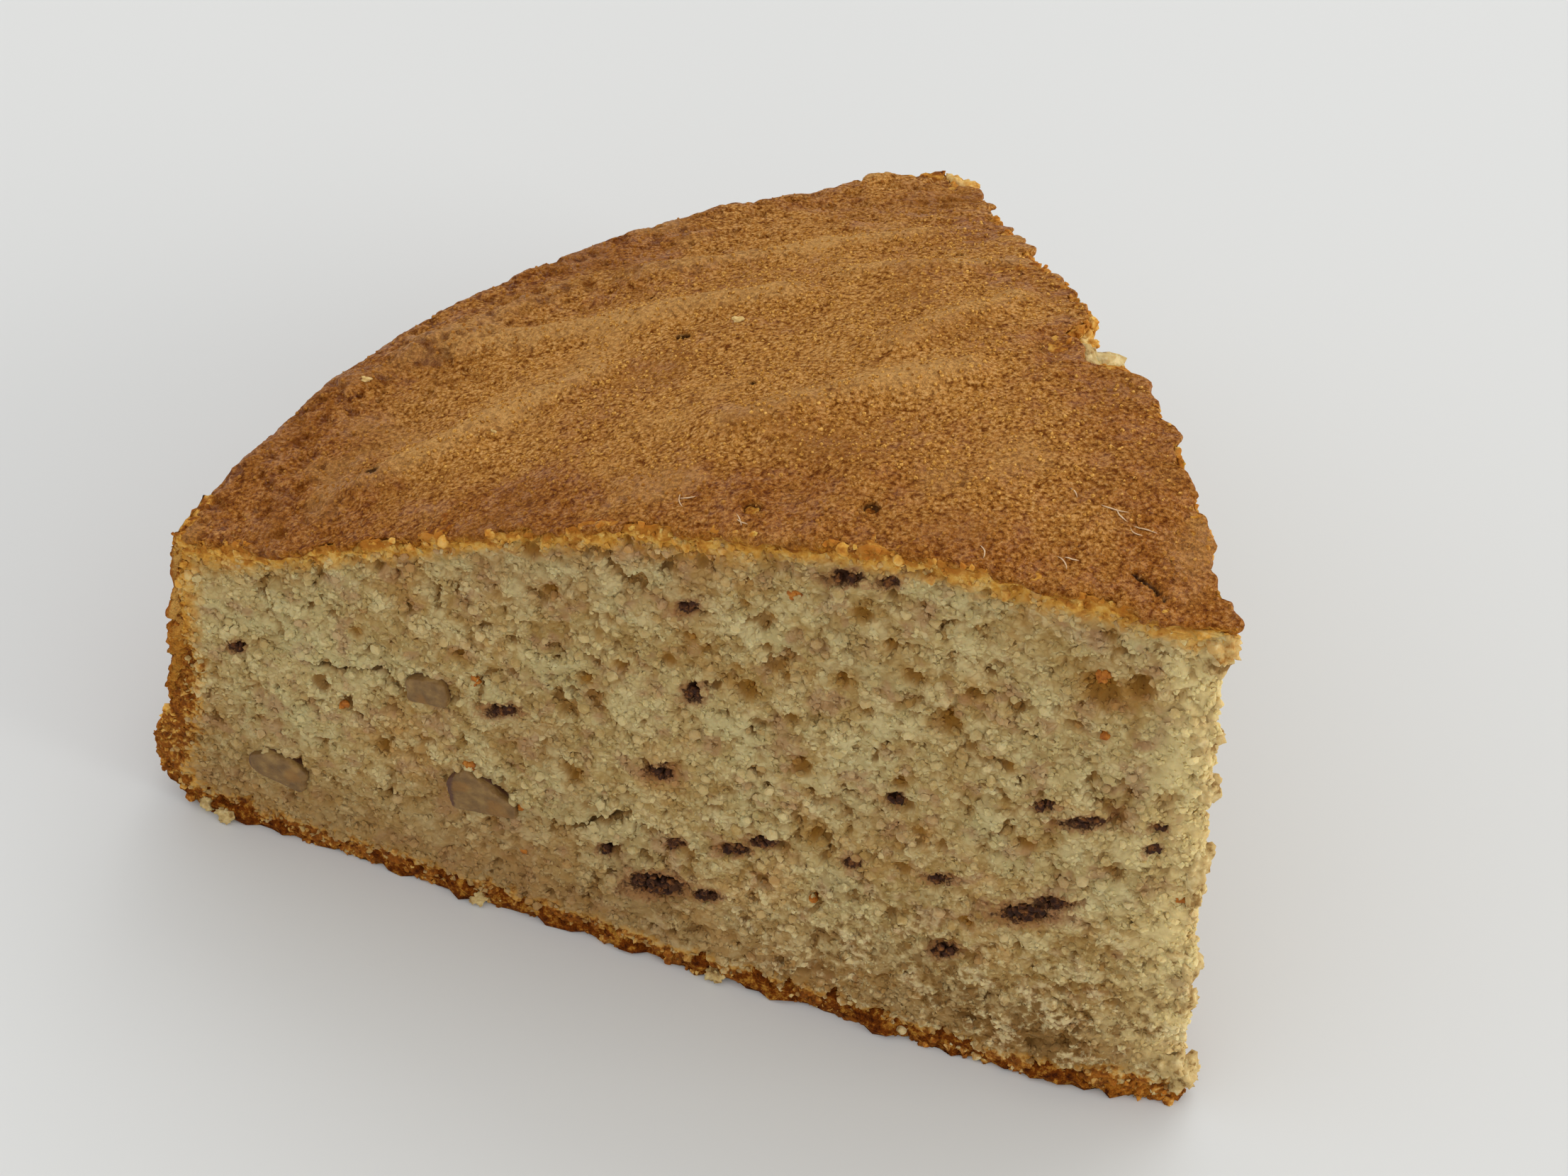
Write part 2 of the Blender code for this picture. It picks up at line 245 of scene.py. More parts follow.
class Wire:
    """A socket in a node tree. Arithmetic on it adds the Math nodes that do the sum."""

    def __init__(self, tree, socket=None):
        self.tree, self.socket = tree, socket

    def node(self, kind, settings=None, values=None, out=0):
        """A new node: its settings first, then the value or the link of each socket."""
        made = self.tree.nodes.new(kind)
        for name, value in (settings or {}).items():
            if name == "stops":
                stops = made.color_ramp.elements
                while len(stops) < len(value):
                    stops.new(1.0)
                for stop, (place, colour) in zip(stops, value):
                    stop.position, stop.color = place, colour
            else:
                setattr(made, name, value)
        for name, value in (values or {}).items():
            if isinstance(value, Wire):
                self.tree.links.new(value.socket, made.inputs[name])
            else:
                made.inputs[name].default_value = value
        return Wire(self.tree, made.outputs[out])

    def maths(self, operation, *numbers):
        return self.node("ShaderNodeMath", {"operation": operation}, dict(enumerate(numbers)))

    __add__ = __radd__ = lambda self, other: self.maths("ADD", self, other)
    __mul__ = __rmul__ = lambda self, other: self.maths("MULTIPLY", self, other)
    __sub__ = lambda self, other: self.maths("SUBTRACT", self, other)
    __rsub__ = lambda self, other: self.maths("SUBTRACT", other, self)
    __rtruediv__ = lambda self, other: self.maths("DIVIDE", other, self)

    def step(self, low, high):
        """0 at low, 1 at high and smooth between, whichever is the larger."""
        span = {"Value": self, "From Min": low, "From Max": high}
        return self.node("ShaderNodeMapRange", {"interpolation_type": "SMOOTHSTEP"}, span)

    def vectors(self, operation, values):
        return self.node("ShaderNodeVectorMath", {"operation": operation}, values)

    def ramp(self, *stops):
        """A colour for this number, from stops of a place and a colour as seen."""
        stops = [(place, light(*colour)) for place, *colour in stops]
        return self.node("ShaderNodeValToRGB", {"stops": stops}, {0: self})

    def painted(self, *coats):
        """This colour under coats of others: how much of each, and a colour as seen or a wire."""
        tone = self
        for share, *colour in coats:
            colour = light(*colour) if len(colour) == 3 else colour[0]
            tone = self.node("ShaderNodeMix", {"data_type": "RGBA"}, {0: share, 6: tone, 7: colour}, 2)
        return tone

    def noise(self, size, detail=2.0, rough=0.5, out=0):
        """Smooth noise of 0 to 1 at this place, in lumps of the given size."""
        values = {"Vector": self, "Scale": 1.0 / size, "Detail": detail, "Roughness": rough}
        return self.node("ShaderNodeTexNoise", {}, values, out)

    def cells(self, size, out=0, feature="F1"):
        """How far this place is from the middle of its cell, in cells, or the cell's own colour."""
        values = {"Vector": self, "Scale": 1.0 / size}
        return self.node("ShaderNodeTexVoronoi", {"feature": feature}, values, out)

    def drift(self, size):
        """A vector of -0.5 to 0.5 each way that changes smoothly over this size."""
        return self.vectors("SUBTRACT", {0: self.noise(size, 1.0, out=1), 1: (0.5,) * 3})

    def warped(self, size, far):
        """This place, moved about by noise."""
        shift = self.vectors("SCALE", {0: self.drift(size), 3: far})
        return self.vectors("ADD", {0: self, 1: shift})

    def mark(self, name, out=2):
        """What is stored at the points under a name, in a material."""
        return self.node("ShaderNodeAttribute", {"attribute_name": name}, {}, out)


def light(red, green, blue):
    """A colour as seen, 0 to 255, as the amount of light in each part."""
    parts = [c / 255.0 for c in (red, green, blue)]
    parts = [p / 12.92 if p <= 0.04045 else ((p + 0.055) / 1.055) ** 2.4 for p in parts]
    return (*parts, 1.0)


def new_finish(name, **sockets):
    """A material, the place on the object and its shader, with what never varies set."""
    made = bpy.data.materials.new(name)
    made.use_nodes = True
    shader = made.node_tree.nodes["Principled BSDF"]
    for socket, value in sockets.items():
        shader.inputs[socket.replace("_", " ")].default_value = value
    return made, Wire(made.node_tree).node("ShaderNodeTexCoord", out=3), shader


def wire_up(shader, **wires):
    for socket, wire in wires.items():
        wire.tree.links.new(wire.socket, shader.inputs[socket.replace("_", " ")])


def bumped(height, far):
    """The normal of a surface with this relief of 0 to 1, so many metres deep."""
    return height.node("ShaderNodeBump", {}, {"Height": height, "Distance": far, "Strength": 1.0})


def new_tree(name, *varied, **sizes):
    """An empty Geometry Nodes tree with named inputs, some of a size that is given here. Gives the
    tree, and a wire for each input, for the place and for the way that each point faces."""
    tree = bpy.data.node_groups.new(name, "GeometryNodeTree")
    kinds = {"shape": "NodeSocketGeometry", "finish": "NodeSocketMaterial"}
    for size in ("shape", *varied, *sizes, "finish"):
        kind = kinds.get(size, "NodeSocketFloat")
        socket = tree.interface.new_socket(size, in_out="INPUT", socket_type=kind)
        if size in sizes:
            socket.default_value = sizes[size]
    tree.interface.new_socket("shape", in_out="OUTPUT", socket_type="NodeSocketGeometry")
    start = tree.nodes.new("NodeGroupInput")
    given = SimpleNamespace(**{s.name: Wire(tree, s) for s in start.outputs if s.name})
    given.place = given.shape.node("GeometryNodeInputPosition")
    given.facing = given.shape.node("GeometryNodeInputNormal")
    return tree, given


def close_tree(tree, shape, finish):
    """Ends a tree, with no point left under the floor."""
    shape = shape.node("GeometryNodeRealizeInstances", {}, {"Geometry": shape})
    place = shape.node("GeometryNodeInputPosition")
    parts = [place.node("ShaderNodeSeparateXYZ", {}, {0: place}, way) for way in range(3)]
    parts[2] = parts[2].maths("MAXIMUM", parts[2], 0.00002)
    place = place.node("ShaderNodeCombineXYZ", {}, dict(enumerate(parts)))
    shape = shape.node("GeometryNodeSetPosition", {}, {"Geometry": shape, "Position": place})
    shape = shape.node("GeometryNodeSetMaterial", {}, {"Geometry": shape, "Material": finish})
    tree.links.new(shape.socket, tree.nodes.new("NodeGroupOutput").inputs[0])


def stored(shape, kind="FLOAT", **marks):
    """The shape with what these wires say kept at its points by name."""
    for name, wire in marks.items():
        values = {"Geometry": shape, "Name": name, "Value": wire}
        settings = {"data_type": kind, "domain": "POINT"}
        shape = shape.node("GeometryNodeStoreNamedAttribute", settings, values)
    return shape


def fetched(shape, name):
    return shape.node("GeometryNodeInputNamedAttribute", {"data_type": "FLOAT"}, {"Name": name})


def pushed(shape, way, far):
    """The shape with each point moved that far along a vector."""
    offset = shape.vectors("SCALE", {0: way, 3: far})
    return shape.node("GeometryNodeSetPosition", {}, {"Geometry": shape, "Offset": offset})


def worked(thing, tree, finish, **sizes):
    """Runs a tree on a mesh object, and keeps the plain mesh that comes out."""
    run = thing.modifiers.new(tree.name, "NODES")
    run.node_group = tree
    sizes["finish"] = finish
    for item in tree.interface.items_tree:
        if item.in_out == "INPUT" and item.name in sizes:
            run[item.identifier] = sizes[item.name]
    graph = bpy.context.evaluated_depsgraph_get()
    made = bpy.data.meshes.new_from_object(
        thing.evaluated_get(graph), preserve_all_data_layers=True, depsgraph=graph
    )
    thing.modifiers.clear()
    thing.data = made
    made.name = thing.name
    made.shade_smooth()
    return thing


def skin_rows():
    """Where each row of the skin lies, from the tip over the top, down the side and under."""
    across, high = RIM_ROUND / RADIUS_FRONT, RIM_ROUND / RIM_HEIGHT
    for out in np.linspace(0.0, 1.0 - across, TOP_ROWS):
        yield out, 1.0, TOP_SPACING
    for turn in np.linspace(0.0, math.pi / 2, RIM_ROWS)[1:-1]:
        yield 1.0 - across * (1 - math.sin(turn)), 1.0 - high * (1 - math.cos(turn)), TOP_SPACING
    for rise in np.linspace(1.0 - high, 0.0, SIDE_ROWS):
        yield 1.0, rise, SIDE_SPACING
    for out in np.linspace(1.0, 0.0, BASE_ROWS)[1:]:
        yield out, 0.0, BASE_SPACING


def skin_shape(finish):
    spots, rows = [], []
    for out, rise, spacing in skin_rows():
        across = int(round(out * RADIUS_FRONT * CUT_ANGLE / spacing))
        first, middle = len(spots), len(spots) + len(BAND)
        last = middle + across
        spots += [(out, 0.0, rise, deep, proud, middle) for deep, proud in reversed(BAND)]
        spots += [(out, k / max(across, 1), rise, 0, 0, middle + k) for k in range(across + 1)]
        if across:
            spots += [(out, 1.0, rise, deep, proud, last) for deep, proud in BAND]
        front = list(range(first, middle + 1))
        far = list(range(last, len(spots))) if across else front[::-1]
        rows.append((front, list(range(middle, last + 1)), far))
    out, share, rise, deep, proud, edge = np.array(spots).T
    edge, band = edge.astype(int), deep > 0.0
    plain = slice_points(out, share, rise).at
    thick = np.ones(len(plain))
    thick[band] += BAND_VARIES * lumps(plain[edge[band]], BAND_VARIES_SIZE, 5)
    deep = deep * thick * (1.0 + BASE_THICKER * (1.0 - rise) ** 2)
    spot = slice_points(np.minimum(out, 1.0 - deep / RADIUS_FRONT), share, rise)
    points = spot.at
    points[:, 2] = np.clip(points[:, 2], deep, spot.top - deep)
    near = np.minimum(spot.from_front, spot.from_far) < RAGGED_REACH
    ragged, torn, edge = np.zeros(len(points)), np.zeros(len(points)), plain[edge[near]]
    ragged[near] = RAGGED * lumps(edge, RAGGED_SIZE, 3) + NIBBLED * lumps(edge, NIBBLED_SIZE, 4)
    torn[near] = lumps(edge, TORN_SIZE, 6)
    torn = TORN * np.sign(torn) * np.sqrt(np.abs(torn)) * ease(2.0 * rise - 1.0)
    front_in = (ragged - TORN_FRONT * torn) * ease(1.0 - spot.from_front / RAGGED_REACH)
    broken = broken_in(out * RADIUS_FAR) * ease(2.0 * rise - 1.0)
    far_in = (broken - ragged + torn) * ease(1.0 - spot.from_far / RAGGED_REACH)
    points -= front_in[:, None] * FRONT_OUT + far_in[:, None] * FAR_OUT
    points += (proud * thick)[:, None] * spot.cut_out
    top = ease(8.0 * rise - 7.0)
    # sunk marks the split and the pits, which the finish darkens as painted shade.
    sunk = top * (1.0 - ease(along_path(points[:, 0], points[:, 1], SPLIT) / SPLIT_WIDE))
    points[:, 2] -= SPLIT_DEEP * sunk
    for x, y, wide in PITS:
        pit = top * bell((np.hypot(points[:, 0] - x, points[:, 1] - y) / wide) ** 2)
        points[:, 2] -= PIT_DEEP * pit
        sunk = np.maximum(sunk, pit)
    heart = slice_points(*HEART).at
    apex, faces = len(points), []
    for lower, upper in zip(rows, rows[1:]):
        for low_part, high_part in zip(lower, upper):
            faces += zipped(low_part, high_part)
        faces.append((apex, lower[0][0], upper[0][0]))
        faces.append((lower[2][-1], apex, upper[2][-1]))
    # The fold height is kept for the painted highlight along the crests.
    folded = fold_height(points[:, 0], points[:, 1]) * 1000.0
    marks = {
        "from_front": spot.from_front, "from_far": spot.from_far, "cut": deep * 1000.0,
        "low": 1.0 - rise, "out": out, "fold": folded, "sunk": sunk,
    }
    marks = {name: np.append(values, 0.0) for name, values in marks.items()}
    return new_piece("skin", np.concatenate([points, heart]), faces, finish, **marks)


def skin_relief():
    """Soft blisters and a fine grain on the baked faces, and coarse crumb along the cut band."""
    tree, given = new_tree(
        "skin_relief", blister=0.0007, blister_size=0.0042, grain=0.00055, grain_size=0.0012,
        crumb=0.0008, crumb_size=0.0012, dimple=0.0004, dimple_size=0.0018,
    )
    shape, place = given.shape, given.place
    coarse = fetched(shape, "cut").step(0.0, 0.4) * 0.55 + fetched(shape, "low").step(0.05, 0.3)
    high = (place.warped(0.003, 0.002).noise(given.blister_size) - 0.5) * given.blister
    high = high + (place.noise(given.grain_size, 3.0, 0.6) - 0.5) * given.grain
    dimple = place.noise(given.dimple_size, 1.0).step(0.46, 0.34)
    high = high - dimple * given.dimple * fetched(shape, "out").step(0.7, 0.95)
    crumb = 0.45 - place.warped(0.001, 0.0008).cells(given.crumb_size)
    shape = stored(
        shape, patch=place.warped(0.006, 0.004).noise(0.016, 3.0, 0.55),
        cloud=place.warped(0.008, 0.006).noise(0.012),
    )
    shape = pushed(shape, given.facing, high + crumb * given.crumb * coarse)
    close_tree(tree, shape, given.finish)
    return tree


def baked_skin():
    made, at, shader = new_finish(
        "baked_skin", Subsurface_Weight=0.1, Subsurface_Scale=0.0005, Coat_Roughness=0.22,
        Subsurface_Radius=(1.0, 0.45, 0.2), IOR=1.4, Specular_IOR_Level=0.08,
    )
    patch, cloud, low, out = (at.mark(name) for name in ("patch", "cloud", "low", "out"))
    from_front, from_far = at.mark("from_front"), at.mark("from_far")
    mottle = at.noise(0.0022, 3.0, 0.6)
    fine = at.noise(0.00028, 2.0, 0.7)
    crumbly = at.noise(0.0009, 3.0, 0.7)
    grit = at.warped(0.0006, 0.0005).cells(0.00046)
    grain = 0.5 + (0.5 - grit) * 0.75 + (fine - 0.5) * 1.3
    near_front, near_far = from_front.step(0.014, 0.002), from_far.step(0.01, 0.002)
    near_rim = out.step(0.8, 0.98) * (1.0 - from_far.step(0.05, 0.01) * 0.8)
    bare = patch.step(0.56, 0.42) * 0.4 + near_front * 0.6 + near_far * 0.35 + near_rim * 0.6
    bare = (bare + (mottle - 0.5) * 1.2).step(0.15, 0.85)
    # Painted highlight along the crests of the low folds.
    crest_highlight = (at.mark("fold") + (patch - 0.5) * 1.2 + (mottle - 0.5) * 1.2).step(0.3, 1.2)
    baked = (near_rim + near_front * 0.6) * (patch + (mottle - 0.5) * 0.8).step(0.3, 0.6)
    rubbed = (grain * 0.55 + mottle * 0.45).ramp(
        (0.26, 94, 40, 2), (0.5, 147, 81, 13), (0.74, 192, 124, 48)
    )
    top = (grain * 0.8 + mottle * 0.2).ramp(
        (0.22, 112, 56, 2), (0.5, 187, 126, 54), (0.78, 228, 170, 100)
    ).painted(
        (bare * 0.8, rubbed),
        (crest_highlight * (1.0 - bare * 0.5) * 0.42, 214, 164, 98),
        (mottle.step(0.4, 0.28) * (near_rim * 0.3 + 0.45), 116, 56, 6),
        (cloud.step(0.46, 0.3) * 0.45, 150, 92, 32),
        (cloud.step(0.54, 0.7) * 0.35, 212, 158, 90),
        (baked * crumbly.step(0.48, 0.36) * 0.6, 98, 44, 2),
        (baked * crumbly.step(0.54, 0.68) * 0.35, 204, 142, 66),
        # Painted shade in the small dimples near the rim.
        (at.noise(0.0018, 1.0).step(0.46, 0.34) * near_rim * 0.6, 102, 44, 2),
    )
    rim = low + (patch - 0.5) * 0.5 + (crumbly - 0.5) * 0.3
    side = (crumbly * 0.6 + grain * 0.2 + patch * 0.2).ramp(
        (0.32, 126, 58, 4), (0.5, 184, 108, 32), (0.68, 226, 168, 84)
    ).painted(
        (cloud.step(0.5, 0.32) * 0.55, 140, 78, 20),
        (cloud.step(0.52, 0.68) * 0.4, 216, 164, 92),
        (mottle.step(0.42, 0.3) * 0.4, 112, 54, 8),
        (rim.step(0.4, 0.06) * 0.7, 156, 92, 30),
        (rim.step(0.62, 0.88) * 0.6, 132, 68, 14),
    )
    base = crumbly.ramp((0.34, 70, 26, 2), (0.52, 126, 62, 8), (0.68, 198, 138, 52))
    upper = low.step(0.01, 0.05) * (low + (patch - 0.5) * 0.3).step(0.4, 0.26)
    golden = crumbly.ramp((0.32, 112, 52, 2), (0.5, 166, 98, 18), (0.68, 206, 146, 54)).painted(
        (low.step(0.1, 0.3) * 0.45, 218, 152, 62),
        (upper * 0.75, 226, 176, 94),
        (low.step(0.76, 0.9) * 0.6, 120, 62, 10),
    )
    shown = (at.mark("cut") + (crumbly - 0.5)).step(0.05, 0.65) * low.step(0.93, 0.86)
    tip = out.step(0.13, 0.08) * low.step(0.9, 0.97) * crumbly.step(0.35, 0.55)
    tone = top.painted(
        (low.step(0.03, 0.12), side),
        ((low + (crumbly - 0.5) * 0.08).step(0.9, 0.97), base),
        (shown * 0.85, golden),
        (tip * 0.55, 186, 112, 30),
        # Painted shade: the pits and the split in the top are painted nearly black.
        (at.mark("sunk").step(0.15, 0.65) * 0.85, 58, 30, 8),
    )
    bare = bare * low.step(0.1, 0.0)
    gloss = bare * (mottle + fine - 0.5).step(0.44, 0.66) * 0.28
    rough = 0.8 - bare * 0.2 + (fine - 0.5) * 0.3
    relief = bumped(grain, 0.00045)
    wire_up(shader, Base_Color=tone, Roughness=rough, Coat_Weight=gloss, Normal=relief)
    return made


skin_finish = baked_skin()
skin = worked(skin_shape(skin_finish), skin_relief(), skin_finish)
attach(skin, "root")
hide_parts("cake")

# ------------------------------------------------------------------ The open crumb
# Both cuts are soft sponge torn by the knife: pale clumps, pores and small hollows, going golden
# just under the skin. The front cut runs on round the blunt tip, and the far cut starts there.


def metres(*rows):
    """A table of places and sizes that is written in millimetres."""
    return np.array(rows) / 1000


CRUMB_UNDER = 0.0001
ROUND_TIP = 0.0045
# How far in each ring lies that leads from the edge of a sheet to its closed back.
SHOULDER = metres(0.4, 0.9, 1.4, 1.9, 2.4, 2.9, 3.4, 4, 4.8, 6)
SHOULDER_HELD, SHOULDER_DROP = 0.35, 0.08
CRACKS = (
    metres((82.3, 26.3), (78.8, 26.5), (74.8, 28.7), (72.7, 26.2)),
    metres((56.7, 14.7), (54.4, 16.4), (51.2, 19.4)),
)
DARK_BITS = metres(  # along the front cut from the tip, up from the base, width and height
    (47.8, 10.6, 4.2, 2.2), (49.4, 10.8, 2.4, 1.8), (43.3, 11.6, 2, 1.4), (40.7, 19.2, 2.2, 1.2),
    (38.1, 21.4, 2.4, 1.2), (53, 13.6, 1.4, 1), (46.2, 17.5, 1.4, 1.2), (45, 38.2, 1.6, 1.6),
    (45.8, 48.5, 1.4, 1.2), (32.4, 57.4, 2.2, 1.2), (28.6, 58.5, 1.4, 1), (48, 26.5, 1.8, 1.6),
    (26.4, 32.5, 1.2, 1.2), (14, 22.8, 4, 2), (11.7, 25.3, 2.4, 1.4), (10.2, 36.8, 3, 1.2),
    (13.5, 37.4, 1.4, 1), (4, 38.7, 1, 0.8), (4.2, 35.8, 1, 0.8), (20.7, 14.2, 1.8, 1.4),
    (21.8, 24, 2, 1), (29.9, 22.5, 1.2, 1), (63.2, 28.1, 2.6, 1.2), (89.7, 25, 1.2, 1),
)
HOLLOWS = metres(  # along, up and half as wide
    (10.6, 53.3, 1.6), (7.4, 54.7, 1.2), (40.3, 40.7, 1), (60, 50, 1), (22.5, 44, 0.9),
    (35, 33, 0.9), (45.5, 45.2, 0.6), (44.1, 44.3, 0.4), (40.7, 51, 0.5), (38.4, 50.4, 0.5),
    (38.7, 46.7, 0.5), (41.1, 43.4, 0.5), (30.7, 54, 0.8), (31.8, 45.6, 0.7), (28.1, 51.3, 0.6),
    (25.8, 48.4, 0.9), (29.7, 42.7, 0.6), (36.7, 43.7, 0.6), (47.4, 41.3, 0.6), (36.1, 39.1, 0.6),
    (34.1, 30.5, 0.6), (20.8, 48.6, 0.7), (26.2, 34.8, 0.7), (24.2, 29.3, 0.6), (33.6, 24.4, 0.6),
    (25.2, 23.8, 0.7), (14.8, 32.1, 0.8), (39.1, 30.7, 0.6), (17, 41, 0.6), (19, 19, 0.7),
    (51.8, 39, 0.7), (55, 35.8, 0.7), (52.6, 44.6, 0.6), (58.2, 45.5, 0.7), (67.2, 33.8, 0.7),
    (77.2, 32.5, 0.6), (75.2, 17.6, 0.7), (56, 22, 0.6),
)
NUT_PLACES = metres(  # along, up, half as wide and half as tall
    (65.2, 16, 3, 2), (86.4, 10.2, 2.5, 1.6), (70.2, 28.1, 1.7, 1.3),
)
FAR_CRACKS = (metres((70, 20.5), (66.2, 21.3), (63.1, 19.6)),)
FAR_BITS = metres(
    (21.5, 40.2, 2.2, 1.4), (36.2, 15.1, 3.4, 1.6), (39.1, 16.9, 1.4, 1.2), (52.8, 33.1, 2, 1.2),
    (65.5, 12, 1.6, 1.2), (78.4, 23.6, 2.6, 1.4),
)
FAR_DIMPLES = metres((30.5, 31.2, 1.1), (59.2, 27.1, 0.9), (84, 16, 1))
BIT_TILT = 0.42
SOFT_GRAIN = 0.0008
# How thick the brown by the tin and the gold under the skin are along a cut and up the side.
TIN_VARIES = ((0.0, 0.7), (0.002, 1.5), (0.009, 1.5), (0.011, 0.9), (0.05, 1.0), (0.1, 1.1))
GOLD_VARIES = (
    (0.0, 1.2), (0.012, 1.1), (0.026, 1.1), (0.036, 0.9), (0.046, 1.5), (0.056, 1.3),
    (0.066, 0.9), (0.075, 1.1), (0.1, 1.6),
)
SIDE_VARIES = ((0.0, 1.0), (0.008, 1.5), (0.02, 1.2), (0.026, 0.5), (0.05, 0.3))
GOLD_SIDE, GOLD_SIDE_LEAST = 1.5, 0.0005
TORN_UNDER, TORN_FADE = 0.84, 0.12
# The last is how wide the painted shade along each crack is.
CRACK_DEEP, CRACK_WIDE, CRACK_SHADE_WIDE = 0.0009, 0.00032, 0.00024
WANDER, WANDER_SIZE = 0.0005, 0.0013
BIT_DEEP, HOLLOW_DEEPEST, HOLLOW_SLOPE, NUT_DEEP = 0.0006, 0.0013, 1.2, 0.0005


def crumb_shape(name, start, end, columns, rows, finish):
    """A sheet of crumb along the cuts, with shoulders under the skin and a closed back."""
    along = np.linspace(start, end, columns)
    out, high = np.meshgrid(np.abs(along) / RADIUS_FRONT, np.linspace(0.0, 1.0, rows))
    out, high, share = out.ravel(), high.ravel(), np.tile((along > 0.0) * 1.0, rows)
    spot = slice_points(out, share, high)
    points = spot.at
    points[:, 2] = CRUMB_UNDER + high * (spot.top - 2 * CRUMB_UNDER)
    level, side = out * RADIUS_FRONT, (1.0 - out) * RADIUS_FRONT
    tin = points[:, 2] / np.interp(level, *np.array(TIN_VARIES).T)
    tin = np.minimum(tin, side / np.interp(points[:, 2], *np.array(SIDE_VARIES).T))
    golden = (spot.top - points[:, 2]) / np.interp(level, *np.array(GOLD_VARIES).T)
    golden = np.minimum(golden, side / GOLD_SIDE + GOLD_SIDE_LEAST)
    broken = broken_in(out * RADIUS_FAR) * ease((high - TORN_UNDER) / TORN_FADE) * share
    points -= broken[:, None] * FAR_OUT
    index = np.arange(rows * columns).reshape(rows, columns)
    corners = [index[:-1, :-1], index[:-1, 1:], index[1:, 1:], index[1:, :-1]]
    faces = np.stack(corners, axis=-1).reshape(-1, 4).tolist()
    border = np.concatenate([index[0, :-1], index[:-1, -1], index[-1, :0:-1], index[:0:-1, 0]])
    other = np.where(share > 0.5, spot.from_front, spot.from_far)[border]
    rings, last, count = [points], border, len(points)
    for sink in SHOULDER:
        held = sink * np.minimum(1.0, SHOULDER_HELD * other / SHOULDER[-1])
        ring = points[border] - held[:, None] * spot.cut_out[border]
        top = top_height(ring[:, 0], ring[:, 1])
        ring[:, 2] = np.clip(ring[:, 2], CRUMB_UNDER, top - CRUMB_UNDER - SHOULDER_DROP * sink)
        following = count + np.arange(len(border))
        corners = [np.roll(last, -1), last, following, np.roll(following, -1)]
        faces += np.stack(corners, axis=-1).tolist()
        rings, last, count = [*rings, ring], following, count + len(border)
    rings.append(rings[-1].mean(axis=0, keepdims=True))
    faces += [(b, a, count) for a, b in zip(last.tolist(), np.roll(last, -1).tolist())]
    points = np.concatenate(rings)
    shown = {
        "open": (1.0, 0.0), "from_top": (golden * 1000.0, 0.0), "from_tin": (tin * 1000.0, 2.0),
        "from_base": (spot.at[:, 2] * 1000.0, 20.0), "from_tip": (level * 1000.0, 20.0),
        "front": (np.where(share < 0.5, -spot.at[:, 0], 1.0), 1.0),
        "far": (np.where(share > 0.5, out * RADIUS_FAR, 1.0), 1.0),
    }
    marks = {mark: np.full(len(points), hidden) for mark, (_, hidden) in shown.items()}
    for mark, (values, _) in shown.items():
        marks[mark][: len(out)] = values
    front = (marks.pop("front"), points[:, 2], CRACKS, DARK_BITS, HOLLOWS, NUT_PLACES)
    far = (marks.pop("far"), points[:, 2], FAR_CRACKS, FAR_BITS, FAR_DIMPLES, ())
    front, far = torn_marks(*front), torn_marks(*far)
    marks.update({mark: np.maximum(front[mark], far[mark]) for mark in front})
    return new_piece(name, points, faces, finish, **marks)


def torn_marks(along, up, cracks, bits, hollows, nuts):
    """How deep a cut is torn at each point, how far a bit stains it, and painted shade in hollows and
    cracks.
    """
    deep, stain, amber, crack = (np.zeros(len(up)) for _ in range(4))
    wander = WANDER * lumps(np.stack([along, up, 0.0 * up], axis=-1), WANDER_SIZE, 8)
    for path in cracks:
        away = along_path(along + wander, up + wander, path)
        deep = np.maximum(deep, CRACK_DEEP * bell((away / CRACK_WIDE) ** 2))
        crack = np.maximum(crack, bell((away / CRACK_SHADE_WIDE) ** 2))
    for a, b, wide, tall in bits:
        tilted = up - b + BIT_TILT * (along - a)
        away = np.hypot((along - a) / (wide / 2), tilted / (tall / 2))
        deep = np.maximum(deep, BIT_DEEP * bell(away / 1.1))
        stain = np.maximum(stain, bell(away / 2))
    for a, b, size in hollows:
        away = np.hypot(along - a, up - b) / size
        deep = np.maximum(deep, min(HOLLOW_DEEPEST, HOLLOW_SLOPE * size) * bell(away**2))
        # painted shade in each hollow
        amber = np.maximum(amber, bell(away / 1.3))
    for a, b, wide, tall in nuts:
        away = np.hypot((along - a) / wide, (up - b) / tall)
        deep = np.maximum(deep, NUT_DEEP * bell(away**3))
    return {"deep": deep, "stain": stain, "amber": amber, "crack": crack}


